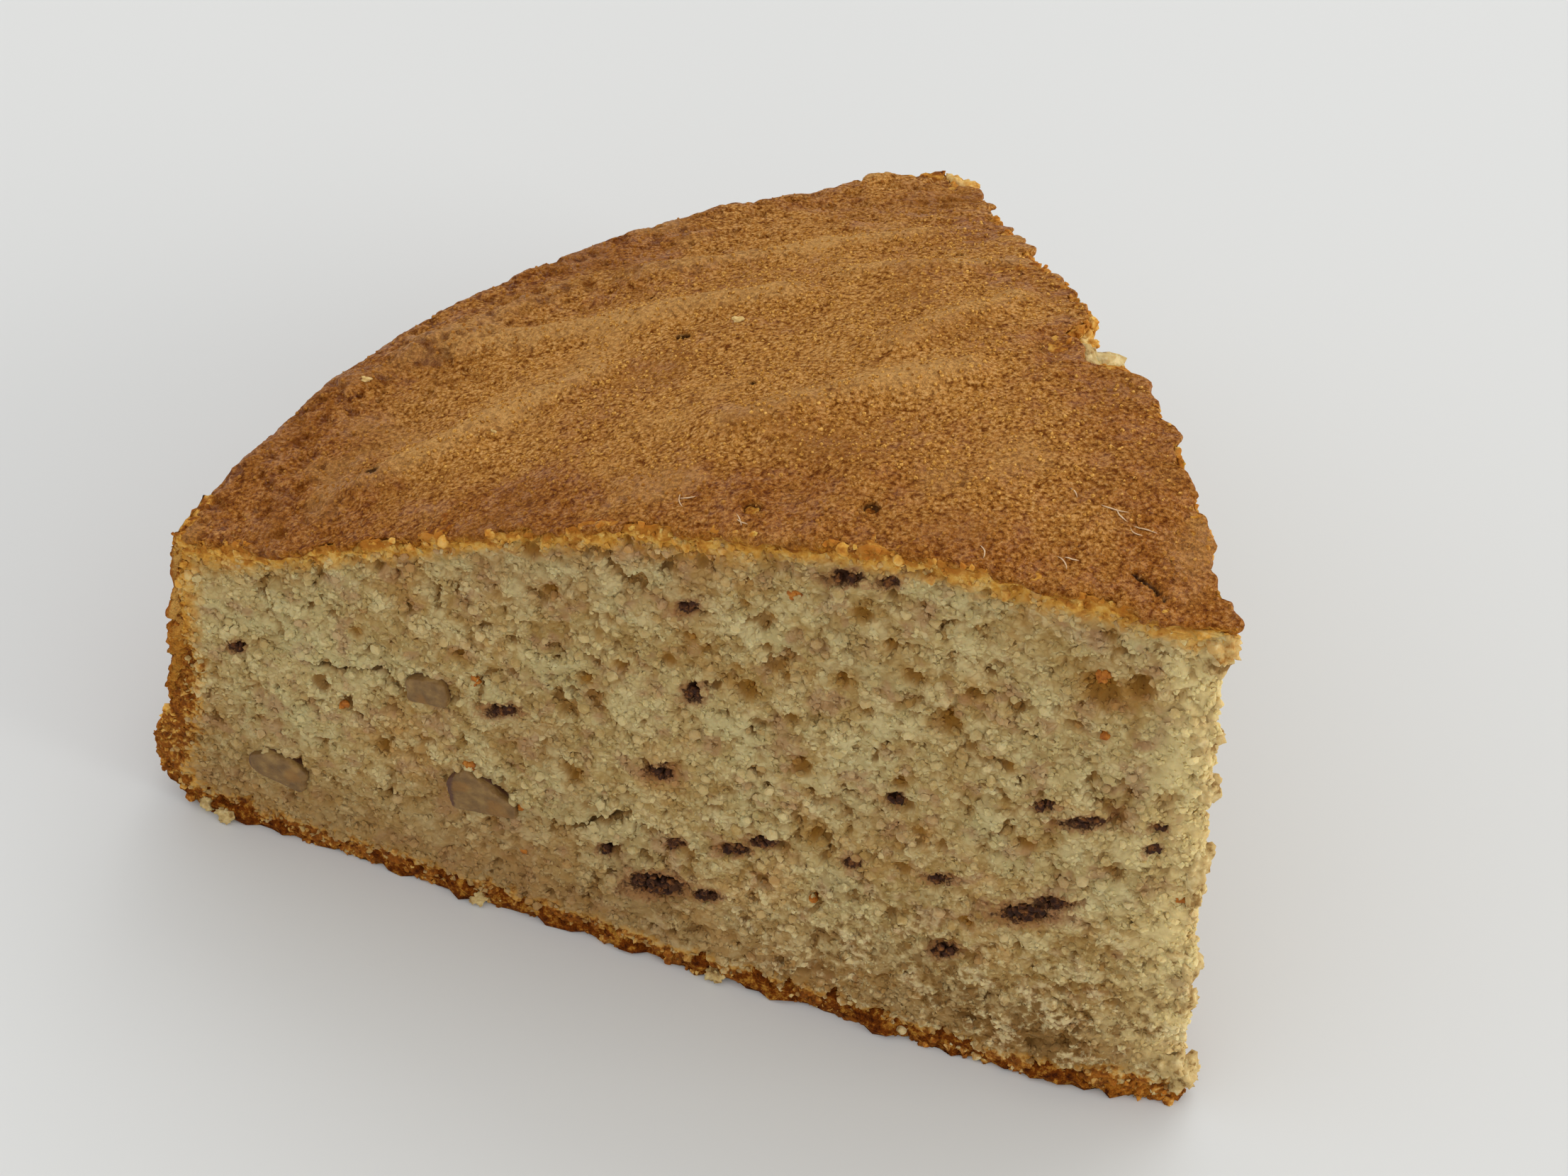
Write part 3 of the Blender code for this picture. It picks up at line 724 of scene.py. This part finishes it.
def crumb_relief():
    """Rounded clumps with gaps between some of them, a fine grain, pores and small pits."""
    tree, given = new_tree(
        "crumb_relief", clump=0.0005, clump_size=0.0026, gap=0.00036, grain=0.00042,
        grain_size=0.0009, grit=0.00055, grit_size=0.0005, pore=0.0008, pore_size=0.0022,
        pit=0.0004, pit_size=0.0011, slow=0.0007,
    )
    shape, place = given.shape, given.place
    bent = place.warped(0.0032, 0.0024).warped(0.001, 0.0008)
    clump = 0.45 - bent.cells(given.clump_size)
    gap = bent.cells(given.clump_size, 0, "DISTANCE_TO_EDGE").step(0.1, 0.0)
    gap = gap * place.noise(0.0048, 1.0).step(0.48, 0.6)
    grain = 0.45 - bent.cells(given.grain_size)
    grit = place.noise(given.grit_size, 2.0, 0.6) - 0.5
    pore = bent.noise(given.pore_size, 1.0, 0.4).step(0.64, 0.72)
    pit = bent.noise(given.pit_size, 1.0, 0.4).step(0.62, 0.76)
    high = clump * given.clump + grain * given.grain + grit * given.grit - gap * given.gap
    high = high - pore * given.pore - pit * given.pit - fetched(shape, "deep")
    high = high + (place.noise(0.006, 2.0) - 0.5) * given.slow
    shape = stored(
        stored(shape, "FLOAT_VECTOR", rest=place), high=high * 1000.0,
        patch=place.warped(0.003, 0.0025).noise(0.008, 3.0, 0.6),
        blotch=place.noise(0.0036, 3.0, 0.65), clump=bent.cells(given.clump_size, 1),
        wide=place.noise(0.022),
    )
    shape = pushed(shape, given.facing, fetched(shape, "high") * 0.001)
    close_tree(tree, shape, given.finish)
    return tree


def open_crumb():
    made, at, shader = new_finish(
        "open_crumb", Subsurface_Weight=0.25, Subsurface_Scale=0.0008, Specular_IOR_Level=0.2,
        Subsurface_Radius=(1.0, 0.55, 0.25), IOR=1.4, Roughness=0.85,
    )
    patch, blotch, clump, wide = (at.mark(name) for name in ("patch", "blotch", "clump", "wide"))
    low, tip = at.mark("from_base"), at.mark("from_tip")
    bent = at.mark("rest", 1).warped(0.001, 0.0009)
    grain, own = bent.cells(SOFT_GRAIN), bent.cells(SOFT_GRAIN, 1)
    mottle = at.noise(0.0011, 3.0, 0.6)
    fine = at.noise(0.00032, 2.0, 0.6)
    # gap marks where painted shade falls between the grains.
    gap = bent.cells(SOFT_GRAIN, 0, "DISTANCE_TO_EDGE").step(0.16, 0.02) * at.mark("open")
    gap = gap * (mottle + (patch - 0.5) * 0.6).step(0.36, 0.56)
    high = at.mark("high") + (fine - 0.5) * 0.3
    coarse = low.step(26.0, 10.0) * tip.step(62.0, 30.0)
    # Pale clusters of granules: a random tone, and partly painted highlight, as it leans to raised
    # crumb.
    clot = (mottle + (blotch - 0.5) + high * 0.25).step(0.5, 0.7)
    sponge = (mottle * 0.44 + fine * 0.12 + own * 0.2 + clump * 0.24).ramp(
        (0.3, 144, 111, 54), (0.5, 174, 145, 89), (0.7, 211, 189, 137)
    ).painted(
        (wide.step(0.5, 0.68) * 0.4, 195, 178, 125),
        (wide.step(0.48, 0.32) * 0.4, 156, 116, 74),
        (patch.step(0.52, 0.68) * 0.5, 182, 136, 76),
        (patch.step(0.48, 0.34) * 0.45, 190, 178, 128),
        (blotch.step(0.52, 0.64) * 0.6, 160, 118, 84),
        (blotch.step(0.49, 0.38) * 0.5, 205, 187, 136),
        # Painted light: raised crumb is painted paler as a highlight, and low places browner as
        # painted shade.
        (high.step(0.05, 0.4) * 0.45, 205, 187, 136),
        (high.step(0.0, -0.75) * 0.8, 154, 108, 45),
        # Painted shade in the gaps between the grains.
        (gap * 0.42, 140, 104, 52),
        # Painted shade: darker towards the base of the cut.
        ((low + (patch - 0.5) * 14.0).step(18.0, 4.0) * 0.62, 144, 106, 58),
        # Painted light: paler towards the tip, for the light on the turned tip.
        ((tip + (blotch - 0.5) * 16.0).step(10.0, 1.0) * 0.5, 232, 206, 142),
        (coarse * clot * 0.5, 232, 213, 160),
        (coarse * (mottle + (patch - 0.5)).step(0.47, 0.34) * 0.75, 116, 78, 28),
        # Painted shade in the hollows, a warm brown.
        (at.mark("amber") * 0.7, 148, 98, 18),
    )
    golden = mottle.ramp((0.3, 154, 90, 10), (0.5, 206, 146, 50), (0.72, 228, 184, 96))
    toasted = (mottle * 0.6 + fine * 0.4).ramp(
        (0.34, 72, 29, 2), (0.52, 138, 74, 11), (0.7, 210, 153, 62)
    ).painted((tip.step(12.0, 7.0) * mottle.step(0.38, 0.55) * 0.5, 188, 116, 32))
    near_top = at.mark("from_top") + (mottle - 0.5) * 2.4 + (blotch - 0.5) * 2.4
    near_tin = at.mark("from_tin") + (mottle - 0.5) * 4.0 + (blotch - 0.5) * 4.0
    stained = at.mark("stain") + (mottle - 0.5) + (fine - 0.5) * 0.7
    tone = sponge.painted(
        (near_top.step(3.3, 1.3) * 0.9, golden),
        (near_top.step(1.5, 0.5) * 0.75, 160, 92, 20),
        (near_tin.step(3.6, 2.0) * 0.7, golden),
        (near_tin.step(2.7, 1.7) * 0.95, toasted),
        (stained.step(0.2, 0.6) * 0.65, 134, 82, 44),
        (stained.step(0.58, 0.82) * 0.95, 58, 32, 16),
        # Painted shade along the cracks.
        (at.mark("crack").step(0.25, 0.75) * 0.85, 74, 52, 18),
    )
    relief = fine * 0.15 + mottle * 0.3 - grain * 0.44
    wire_up(shader, Base_Color=tone, Normal=bumped(relief, 0.00042))
    return made


crumb_finish = open_crumb()
relief = crumb_relief()
front_crumb = crumb_shape(
    "front_crumb", -RADIUS_FRONT + CRUMB_UNDER, ROUND_TIP, 376, 214, crumb_finish
)
far_crumb = crumb_shape(
    "far_crumb", ROUND_TIP - 0.0006, RADIUS_FRONT - CRUMB_UNDER, 340, 190, crumb_finish
)
for crumb in (front_crumb, far_crumb):
    worked(crumb, relief, crumb_finish)
    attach(crumb, "root")
    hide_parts("cake")

# ------------------------------------------------------------------ Loose crumbs
# The knife left crumbs of every size clinging to both cuts. They are bits of the same sponge, no
# two alike, with the colour of the place that they were torn from, some paler at random, and all
# carrying more of the painted highlight that the crumb has where it stands high.


def strewn(given, per_area, **limits):
    """Points at random on the faces, so many to a square metre."""
    values = {"Mesh": given.shape, "Density": per_area, "Seed": given.seed, **limits}
    kind = "GeometryNodeDistributePointsOnFaces"
    return given.shape.node(kind, {"distribute_method": "RANDOM"}, values)


def random_share(shape, seed):
    return shape.node("FunctionNodeRandomValue", {"data_type": "FLOAT"}, {"Seed": seed}, 1)


def balls_on(points, given, level):
    """A ball on each point, turned at random. More of them are small than large."""
    ball = points.node("GeometryNodeMeshIcoSphere", {}, {"Radius": 1.0, "Subdivisions": level})
    share = random_share(points, 3)
    size = given.least + (given.most - given.least) * share * share
    turns = {1: (6.28,) * 3, "Seed": 5}
    turn = points.node("FunctionNodeRandomValue", {"data_type": "FLOAT_VECTOR"}, turns)
    values = {"Points": points, "Instance": ball, "Rotation": turn, "Scale": size}
    placed = points.node("GeometryNodeInstanceOnPoints", {}, values)
    return placed.node("GeometryNodeRealizeInstances", {}, {"Geometry": placed})


def crumb_scatter():
    """Torn balls of crumb, strewn over the open part of a sheet."""
    tree, given = new_tree("crumb_scatter", "per_area", "least", "most", "ball", "seed")
    free = given.shape.maths("GREATER_THAN", fetched(given.shape, "open"), 0.99)
    points = strewn(given, given.per_area, Selection=free)
    paler = random_share(points, 11)
    paler = paler * paler
    points = stored(
        points, from_tin=fetched(points, "from_tin") + paler * 2.6,
        from_top=fetched(points, "from_top") + paler * 1.2,
        # Painted highlight: the loose crumbs count as standing high, so they are painted paler.
        high=fetched(points, "high") + 0.15, open=0.0,
    )
    placed = balls_on(points, given, given.ball)
    close_tree(tree, pushed(placed, given.place.drift(0.00045), 0.0007), given.finish)
    return tree


scatter = crumb_scatter()
for sheet, name in ((front_crumb, "front"), (far_crumb, "far")):
    for kind, ball, per_area, least, most, seed in (
        ("large", 2, 170000.0, 0.00026, 0.00058, 4),
        ("small", 1, 1250000.0, 0.00014, 0.00034, 7),
        ("fine", 1, 1050000.0, 0.00013, 0.00028, 8),
    ):
        loose = new_object(f"{kind}_{name}_crumbs", sheet.data.copy())
        worked(
            loose, scatter, crumb_finish,
            per_area=per_area, least=least, most=most, ball=ball, seed=seed,
        )
        loose.data.shade_flat()
        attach(loose, "root")

# ------------------------------------------------------------------ Walnut pieces
# Three broken walnut pieces are set in the front cut, the crumb sinking a little round each. The
# knife left a smooth pale face on each, with the brown papery husk round it, and the left part of
# each face is darkened in the husk's colour as painted shade.
NUTS = {  # the flat sides of each, in the order of NUT_PLACES: how they face, and how far out
    "walnut_1": (
        (-0.51, 0.86, 0.0017), (-0.99, 0.14, 0.0033), (-0.16, -0.99, 0.0021),
        (0.98, -0.18, 0.0034), (0.69, 0.72, 0.0031),
    ),
    "walnut_2": (
        (-0.22, 0.97, 0.0017), (-0.8, 0.6, 0.0027), (-1.0, -0.25, 0.003), (0.24, -0.97, 0.0016),
        (0.8, -0.55, 0.0027), (1.0, 0.2, 0.0029), (0.5, 0.86, 0.0022),
    ),
    "walnut_3": (
        (0.1, 1.0, 0.0015), (-0.8, 0.6, 0.0022), (-1.0, 0.0, 0.002), (-0.1, -1.0, 0.0014),
        (1.0, -0.1, 0.002), (0.7, 0.7, 0.002),
    ),
}
NUT_THICK, NUT_PROUD, NUT_SUNK, NUT_CORNERS = 0.0028, 0.0008, 0.0001, 12
NUT_ROUGH = ((0.08, 0.0014, 11), (0.03, 0.0005, 12))
HUSK_UNDER, HUSK_FADE, LEFT_SHADE_FROM, LEFT_SHADE_FADE = 0.0002, 0.0005, 0.0024, 0.0006


def walnut_flesh():
    made, at, shader = new_finish(
        "walnut_flesh", Subsurface_Weight=0.2, Subsurface_Scale=0.0008,
        Subsurface_Radius=(1.0, 0.6, 0.35), IOR=1.45,
    )
    grain = at.noise(0.0014, 3.0, 0.6)
    tone = grain.ramp((0.34, 102, 72, 30), (0.52, 122, 90, 44), (0.68, 144, 112, 60)).painted(
        (at.noise(0.0026, 1.0).step(0.54, 0.66) * 0.5, 142, 96, 32),
        # Husk colour, also painted on the left of each face as painted shade.
        ((at.mark("husk") + (grain - 0.5) * 0.8).step(0.25, 0.75), 86, 52, 28),
    )
    relief = bumped(grain + at.noise(0.0004, 2.0) * 0.4, 0.00025)
    wire_up(shader, Base_Color=tone, Roughness=0.5 + grain * 0.2, Normal=relief)
    return made


def ball_shape(level):
    """Points and faces of a round ball one metre in radius."""
    shape = bmesh.new()
    bmesh.ops.create_icosphere(shape, subdivisions=level, radius=1.0)
    points = np.array([v.co[:] for v in shape.verts])
    faces = np.array([[v.index for v in f.verts] for f in shape.faces])
    shape.free()
    return points, faces


def on_cut(along, up, sunk, share=0.0):
    """A place on the front cut, or on the far one at share 1, that far in from its plain face."""
    out, rise, share = np.array([along / RADIUS_FRONT]), np.array([0.5]), np.array([share])
    for _ in range(4):
        spot = slice_points(out, share, rise)
        shown = np.where(share > 0.5, out * RADIUS_FRONT, -spot.at[:, 0])
        out = np.clip(out + (along - shown) / RADIUS_FRONT, 0.0, 1.0)
        rise = up / spot.top
    spot = slice_points(out, share, rise)
    return spot.at - sunk * spot.cut_out


def walnut_shape(name, sides, place, finish):
    points, faces = ball_shape(5)
    flats = np.array([(-a, 0.0, b) for a, b, _ in sides] + [(0.0, -1.0, 0.05), (0.0, 1.0, 0.0)])
    flats = flats / np.linalg.norm(flats, axis=1, keepdims=True)
    reach = np.array([far for _, _, far in sides] + [NUT_PROUD, NUT_THICK])
    toward = np.clip(points @ flats.T, 0.0, None) / reach
    points = points / (toward**NUT_CORNERS).sum(axis=1, keepdims=True) ** (1.0 / NUT_CORNERS)
    rough = sum(high * lumps(points, size, seed) for high, size, seed in NUT_ROUGH)
    points = points * (1.0 + rough)[:, None]
    # The husk round the back, and painted shade on the left part of the face.
    husk = ease((points[:, 1] + HUSK_UNDER) / HUSK_FADE)
    husk = np.maximum(husk, ease((-points[:, 0] - LEFT_SHADE_FROM) / LEFT_SHADE_FADE))
    return new_piece(f"{name}_piece", points + place, faces.tolist(), finish, husk=husk)


nut_finish = walnut_flesh()
for (name, sides), (along, up, _, _) in zip(NUTS.items(), NUT_PLACES):
    nut = walnut_shape(name, sides, on_cut(along, up, NUT_SUNK), nut_finish)
    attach(nut, "root")
    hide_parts(name)

# ------------------------------------------------------------------ Spice and peel
# Dark bits of dried fruit and spice lie in the cuts with their juice baked into the sponge, and a
# few scraps of candied orange peel. On top are pale flecks and fine ridges of glaze, painted pale as
# glints, and soft lumps of crumb show where the skin broke away: in the notch, at the far corner
# and down the tip.
PEEL_BITS = metres(
    (10.3, 55.1, 1.6, 1.2), (9.3, 48.1, 0.8, 0.8), (36.7, 53.9, 1, 0.8), (61.6, 9.5, 1, 0.8),
    (66.4, 19.2, 1.2, 0.9), (65.7, 31, 1, 0.8), (61.6, 15.8, 1, 0.8), (1, 30.1, 1, 0.8),
    (79, 22, 0.9, 0.8), (33, 16, 0.8, 0.7),
)
TOP_FLECKS = metres((-54.4, 34.3, 1.2), (-87.4, 24.3, 1), (-70, 15, 0.5))
GLINT_THREADS = metres(  # glaze ridges on the top painted pale as glints, from the tip, and how far each reaches
    (-48, 3.4, 2.2), (-47.4, 3.7, 1.4), (-42, 1.5, 1.6), (-41.7, 1.2, 1.2), (-13.4, 9.7, 2.4),
    (-12.8, 9.2, 1.8), (-10.5, 8.5, 2), (-11.2, 7.8, 1.4), (-21.7, 2, 1.6), (-15.5, 3, 1.8),
    (-15, 3.4, 1.2), (-17, 11, 1.4),
)
DARK_GRAIN, DARK_SUNK, PEEL_GRAIN, PEEL_SUNK = 0.00058, 0.0003, 0.0006, 0.0002
THREAD_THICK, THREAD_RINGS, THREAD_SIDES = 0.00006, 9, 6
BITS_LOWEST, BITS_SPREAD, BITS_APART, BITS_TURN = 0.00005, 0.46, 9.1, 0.6
BITS_ROUGH = ((0.8, 0.7), (0.3, 0.25))
TORN_LUMPS = metres(
    # Along the far cut, or below zero the front one, how far in and down, how wide, deep and tall,
    # and from how far under the skin the colour is.
    (41.8, 2.2, 2, 4.2, 3.4, 3.6, 6), (40.2, 2.2, 2.4, 2.4, 2.2, 2.4, 2.4),
    (44, 2, 2.2, 2.4, 2, 2.2, 1.4), (45, 1.4, 1.4, 1.8, 1.8, 1.6, 1.8),
    (97.4, 0.8, 1.8, 3.6, 3.6, 2.8, 2), (95.2, 0.3, 2.2, 3.6, 3.4, 3, 1.3),
    (93, 0.5, 2.6, 3, 2.6, 2.6, 0.7), (0.5, 0.7, 2.7, 2.7, 3, 2.7, 2.5),
    (2, 0.9, 2.2, 2.6, 2.4, 2, 2.1), (-3, 0.7, 1.4, 2.6, 1.8, 1.4, 1.6),
    (-5, 0.6, 1.4, 2.6, 1.6, 1.3, 1.8), (0.8, 1, 4.6, 2.4, 2.6, 2.6, 6),
    (0.6, 0.9, 14.5, 2.6, 2.4, 3.4, 9), (0.8, 0.8, 20.5, 2.8, 2.6, 3.6, 9),
    (0.6, 0.9, 30, 2.6, 2.6, 4.4, 9), (1, 1, 33.8, 2.2, 2.2, 2.6, 9),
    (0.6, 1, 43, 2.6, 2.4, 4, 9), (0.9, 0.9, 50, 2.4, 2.4, 3, 9),
)
FOOT_LUMPS = metres(  # at the foot and under the skin by the tip: place, width, depth and height
    (1.8, 2.4, 4.2, 3.4, 3.2, 4.2), (0.8, 1.4, 5.8, 2.6, 2.4, 2.8),
    (1.8, 3.2, 2.4, 2.6, 2.6, 2.2), (-92.5, -0.8, 0.8, 1.8, 1.4, 1.4),
    (-94.8, -0.2, 0.7, 1.6, 1.4, 1.2), (-96.4, 0.6, 0.6, 1.2, 1.2, 1),
    (-66, -1, 0.8, 1.4, 1.2, 1.2), (-42, -1.2, 0.9, 1.6, 1.2, 1.4),
)


def bits_shape(name, places, finish, level, seed, **marks):
    """Small irregular lumps at these places, each with its own width, depth and height."""
    chance = np.random.default_rng(seed)
    ball, ball_faces = ball_shape(level)
    all_points, all_faces = [], []
    for count, (place, size) in enumerate(places):
        points = ball
        for high, wide in BITS_ROUGH:
            rough = high * lumps(points + BITS_APART * count, wide, seed)
            points = points * (1.0 + rough)[:, None]
        points = points * (np.array(size) / 2)
        turn = Matrix.Rotation(chance.uniform(-BITS_TURN, BITS_TURN), 3, chance.normal(size=3))
        points = points @ np.array(turn).T + place
        all_points.append(np.maximum(points, (-1.0, -1.0, BITS_LOWEST)))
        all_faces.append(ball_faces + count * len(ball))
    for mark, values in marks.items():
        marks[mark] = np.repeat(np.broadcast_to(values, len(places)), len(ball))
    faces = np.concatenate(all_faces).tolist()
    return new_piece(name, np.concatenate(all_points), faces, finish, **marks)


def clusters(bits, seed, grain, sunk, share=0.0):
    """Several lumps for each bit, strewn over its width and height on a cut."""
    chance = np.random.default_rng(seed)
    for along, up, wide, tall in bits:
        tilt = BIT_TILT + chance.uniform(-0.3, 0.3)
        for _ in range(1 + int(wide * tall / grain**2)):
            turn, far = chance.uniform(0, 2 * math.pi), chance.uniform(0, 1) ** 0.5
            a = along + BITS_SPREAD * wide * far * math.cos(turn)
            b = up + BITS_SPREAD * tall * far * math.sin(turn) - tilt * (a - along)
            size = grain * chance.uniform(0.7, 1.6, 3)
            yield on_cut(a, b, sunk, share), size


def shown_height(surface, x, y):
    """How high the skin lies over a place measured from the tip."""
    above = Vector((TIP[0] + x, TIP[1] + y, 0.2))
    return surface.ray_cast(above, Vector((0, 0, -1)))[0].z


def thread_shape(name, finish, surface):
    """Fine tapered ridges that wander over the top."""
    chance, points, faces = np.random.default_rng(41), [], []
    turns = np.linspace(0.0, 2 * math.pi, THREAD_SIDES + 1)[:-1]
    for x, y, reach in GLINT_THREADS:
        heading, bend = chance.uniform(-0.5, 1.2), chance.uniform(-0.35, 0.35)
        first = len(points)
        for t in np.linspace(-0.5, 0.5, THREAD_RINGS):
            way = heading + bend * 2 * t
            a, b = x - reach * t * math.cos(way), y + reach * t * math.sin(way)
            height = shown_height(surface, a, b) + THREAD_THICK
            thick = THREAD_THICK * max(1.0 - abs(2 * t) ** 3, 0.15)
            for turn in turns:
                side = thick * math.cos(turn) * np.array([math.sin(way), math.cos(way)])
                points.append((a + side[0], b + side[1], height + thick * math.sin(turn)))
        for ring in range(first, len(points) - THREAD_SIDES, THREAD_SIDES):
            following = ring + THREAD_SIDES
            for m in range(THREAD_SIDES):
                n = (m + 1) % THREAD_SIDES
                faces.append((ring + m, following + m, following + n, ring + n))
        ends = list(range(first, first + THREAD_SIDES)), list(range(len(points)))[-THREAD_SIDES:]
        faces += [ends[0], ends[1][::-1]]
    return new_piece(name, np.array(points), faces, finish)


def fruit_finish(name, dark, mid, pale, rough, shine):
    made, at, shader = new_finish(name, IOR=1.45, Specular_IOR_Level=shine)
    grain = at.noise(0.0006, 3.0, 0.6)
    tone = grain.ramp((0.3, *dark), (0.5, *mid), (0.75, *pale))
    wire_up(shader, Base_Color=tone, Roughness=rough + grain * 0.3, Normal=bumped(grain, 0.0002))
    return made


dark_finish, peel_finish, fleck_finish, glint_glaze_finish = (fruit_finish(*look) for look in (
    ("dried_fruit", (38, 20, 10), (66, 36, 18), (146, 92, 44), 0.6, 0.2),
    ("orange_peel", (136, 72, 14), (172, 100, 24), (196, 130, 48), 0.5, 0.3),
    ("pale_fleck", (190, 150, 84), (214, 178, 110), (230, 200, 140), 0.7, 0.3),
    # Painted glint: the glaze ridges are pale to stand for glints on the glossy top.
    ("glaze_painted_glint", (190, 150, 104), (208, 172, 130), (222, 194, 158), 0.2, 0.4),
))
surface = BVHTree.FromObject(skin, bpy.context.evaluated_depsgraph_get())
flecks = []
for x, y, wide in TOP_FLECKS:
    flecks.append((np.array([x, y, shown_height(surface, x, y)]), (wide, wide * 0.6, wide * 0.5)))
dark = list(clusters(DARK_BITS, 21, DARK_GRAIN, DARK_SUNK))
dark += clusters(FAR_BITS, 23, DARK_GRAIN, DARK_SUNK, 1.0)
peel = list(clusters(PEEL_BITS, 22, PEEL_GRAIN, PEEL_SUNK))
torn = []
for along, inward, down, *size, _ in TORN_LUMPS:
    plan = along * (FAR_ALONG if along > 0.0 else np.array([1.0, 0.0]))
    up = top_height(plan[:1], plan[1:])[0] - down
    torn.append((on_cut(abs(along), up, inward, float(along > 0.0)), size))
torn += [(lump[:3], lump[3:]) for lump in FOOT_LUMPS]
torn_looks = {
    "from_top": [*TORN_LUMPS[:, 6] * 1000.0, *[9.0] * len(FOOT_LUMPS)], "from_tin": 9.0,
    "from_base": 9.0, "from_tip": 5.0, "patch": 0.5, "blotch": 0.5, "clump": 0.6, "wide": 0.6,
}
for bits in (
    bits_shape("dark_bits", dark, dark_finish, 2, 31),
    bits_shape("peel_bits", peel, peel_finish, 2, 32),
    bits_shape("pale_flecks", flecks, fleck_finish, 3, 33),
    bits_shape("torn_lumps", torn, crumb_finish, 4, 35, **torn_looks),
    thread_shape("glaze_glint_threads", glint_glaze_finish, surface),
):
    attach(bits, "root")

# ------------------------------------------------------------------ Cinnamon dust
# The top was dusted with cinnamon and fine crumb, thick in the middle and rubbed off at the edges.
# Each grain is a tiny rough ball, too small to see alone.


def dust_scatter():
    """Grains strewn over the top, fewer of them near its edges."""
    tree, given = new_tree("dust_scatter", "per_area", "least", "most", "seed")
    shape = given.shape
    open_top = fetched(shape, "low").step(0.03, 0.0) * fetched(shape, "cut").step(0.1, 0.0)
    inner = fetched(shape, "from_front").step(0.001, 0.014) * 0.75 + 0.25
    inner = inner * (fetched(shape, "from_far").step(0.001, 0.01) * 0.7 + 0.3)
    inner = inner * (fetched(shape, "out").step(0.98, 0.8) * 0.7 + 0.3)
    patchy = given.place.noise(0.01, 2.0).step(0.35, 0.6) * 0.6 + 0.4
    points = strewn(given, given.per_area * open_top * inner * patchy)
    close_tree(tree, balls_on(points, given, 1), given.finish)
    return tree


def cinnamon():
    made, at, shader = new_finish("cinnamon", Roughness=0.85, Specular_IOR_Level=0.2)
    edge = at.mark("out").step(0.78, 0.95) + at.mark("from_front").step(0.012, 0.003)
    tone = at.noise(0.00035, 2.0, 0.8).ramp(
        (0.34, 112, 63, 13), (0.5, 179, 122, 44), (0.66, 226, 174, 90)
    ).painted((edge.maths("MINIMUM", edge, 1.0) * 0.65, 150, 90, 27))
    wire_up(shader, Base_Color=tone)
    return made


dust = worked(
    new_object("cinnamon_dust", skin.data.copy()), dust_scatter(), cinnamon(),
    per_area=2050000.0, least=0.0001, most=0.00024, seed=9,
)
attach(dust, "root")

# ------------------------------------------------------------------ Floor, light and camera
# A plain pale floor under soft studio light from high behind, with the camera where the slice is
# seen from a little above its front cut.
CAMERA_AT = (TIP[0] + 0.01939, TIP[1] - 0.17145, 0.24771)
CAMERA_TURN, CAMERA_TILT, CAMERA_ROLL = 18.342, 46.947, 2.935
CAMERA_LENS = 74.86


def pale_floor():
    made, at, shader = new_finish("pale_floor", Roughness=0.6)
    tone = at.noise(0.3, 2.0).ramp((0.3, 208, 207, 203), (0.7, 211, 210, 206))
    wire_up(shader, Base_Color=tone)
    return made


floor_data = bpy.data.meshes.new("floor")
floor_data.from_pydata([(-3, -3, 0), (3, -3, 0), (3, 3, 0), (-3, 3, 0)], [], [(0, 1, 2, 3)])
floor_data.materials.append(pale_floor())
floor = new_object("floor", floor_data)
floor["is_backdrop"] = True

world = bpy.data.worlds.new("studio")
world.use_nodes = True
world.node_tree.nodes["Background"].inputs["Color"].default_value = (0.95, 0.97, 1.0, 1.0)
world.node_tree.nodes["Background"].inputs["Strength"].default_value = 1.0
bpy.context.scene.world = world

for name, place, size, power in (
    ("window", (0.2, 0.9, 1.4), 0.9, 3.4),
    ("side", (2.4, 0.1, 0.7), 1.4, 26.0),
):
    lamp = bpy.data.lights.new(name, "AREA")
    lamp.shape, lamp.size, lamp.energy = "SQUARE", size, power
    lamp_object = new_object(name, lamp)
    lamp_object.location = place
    lamp_object.rotation_euler = (-Vector(place)).to_track_quat("-Z", "Y").to_euler()

camera_data = bpy.data.cameras.new("camera")
camera_data.lens, camera_data.sensor_width = CAMERA_LENS, 36.0
camera_data.clip_start = 0.01
camera = new_object("camera", camera_data)
camera.matrix_world = (
    Matrix.Translation(CAMERA_AT)
    @ Matrix.Rotation(math.radians(CAMERA_TURN), 4, "Z")
    @ Matrix.Rotation(math.radians(90.0 - CAMERA_TILT), 4, "X")
    @ Matrix.Rotation(math.radians(CAMERA_ROLL), 4, "Z")
)
bpy.context.scene.camera = camera
bpy.context.scene.view_settings.view_transform = "Standard"

# ------------------------------------------------------------------ Sizes
# The box of the solids and the box of what is shown, kept side by side.
boxes = {"solids": solid_box, "shown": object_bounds()}
{name: [list(corner) for corner in box] for name, box in boxes.items()}
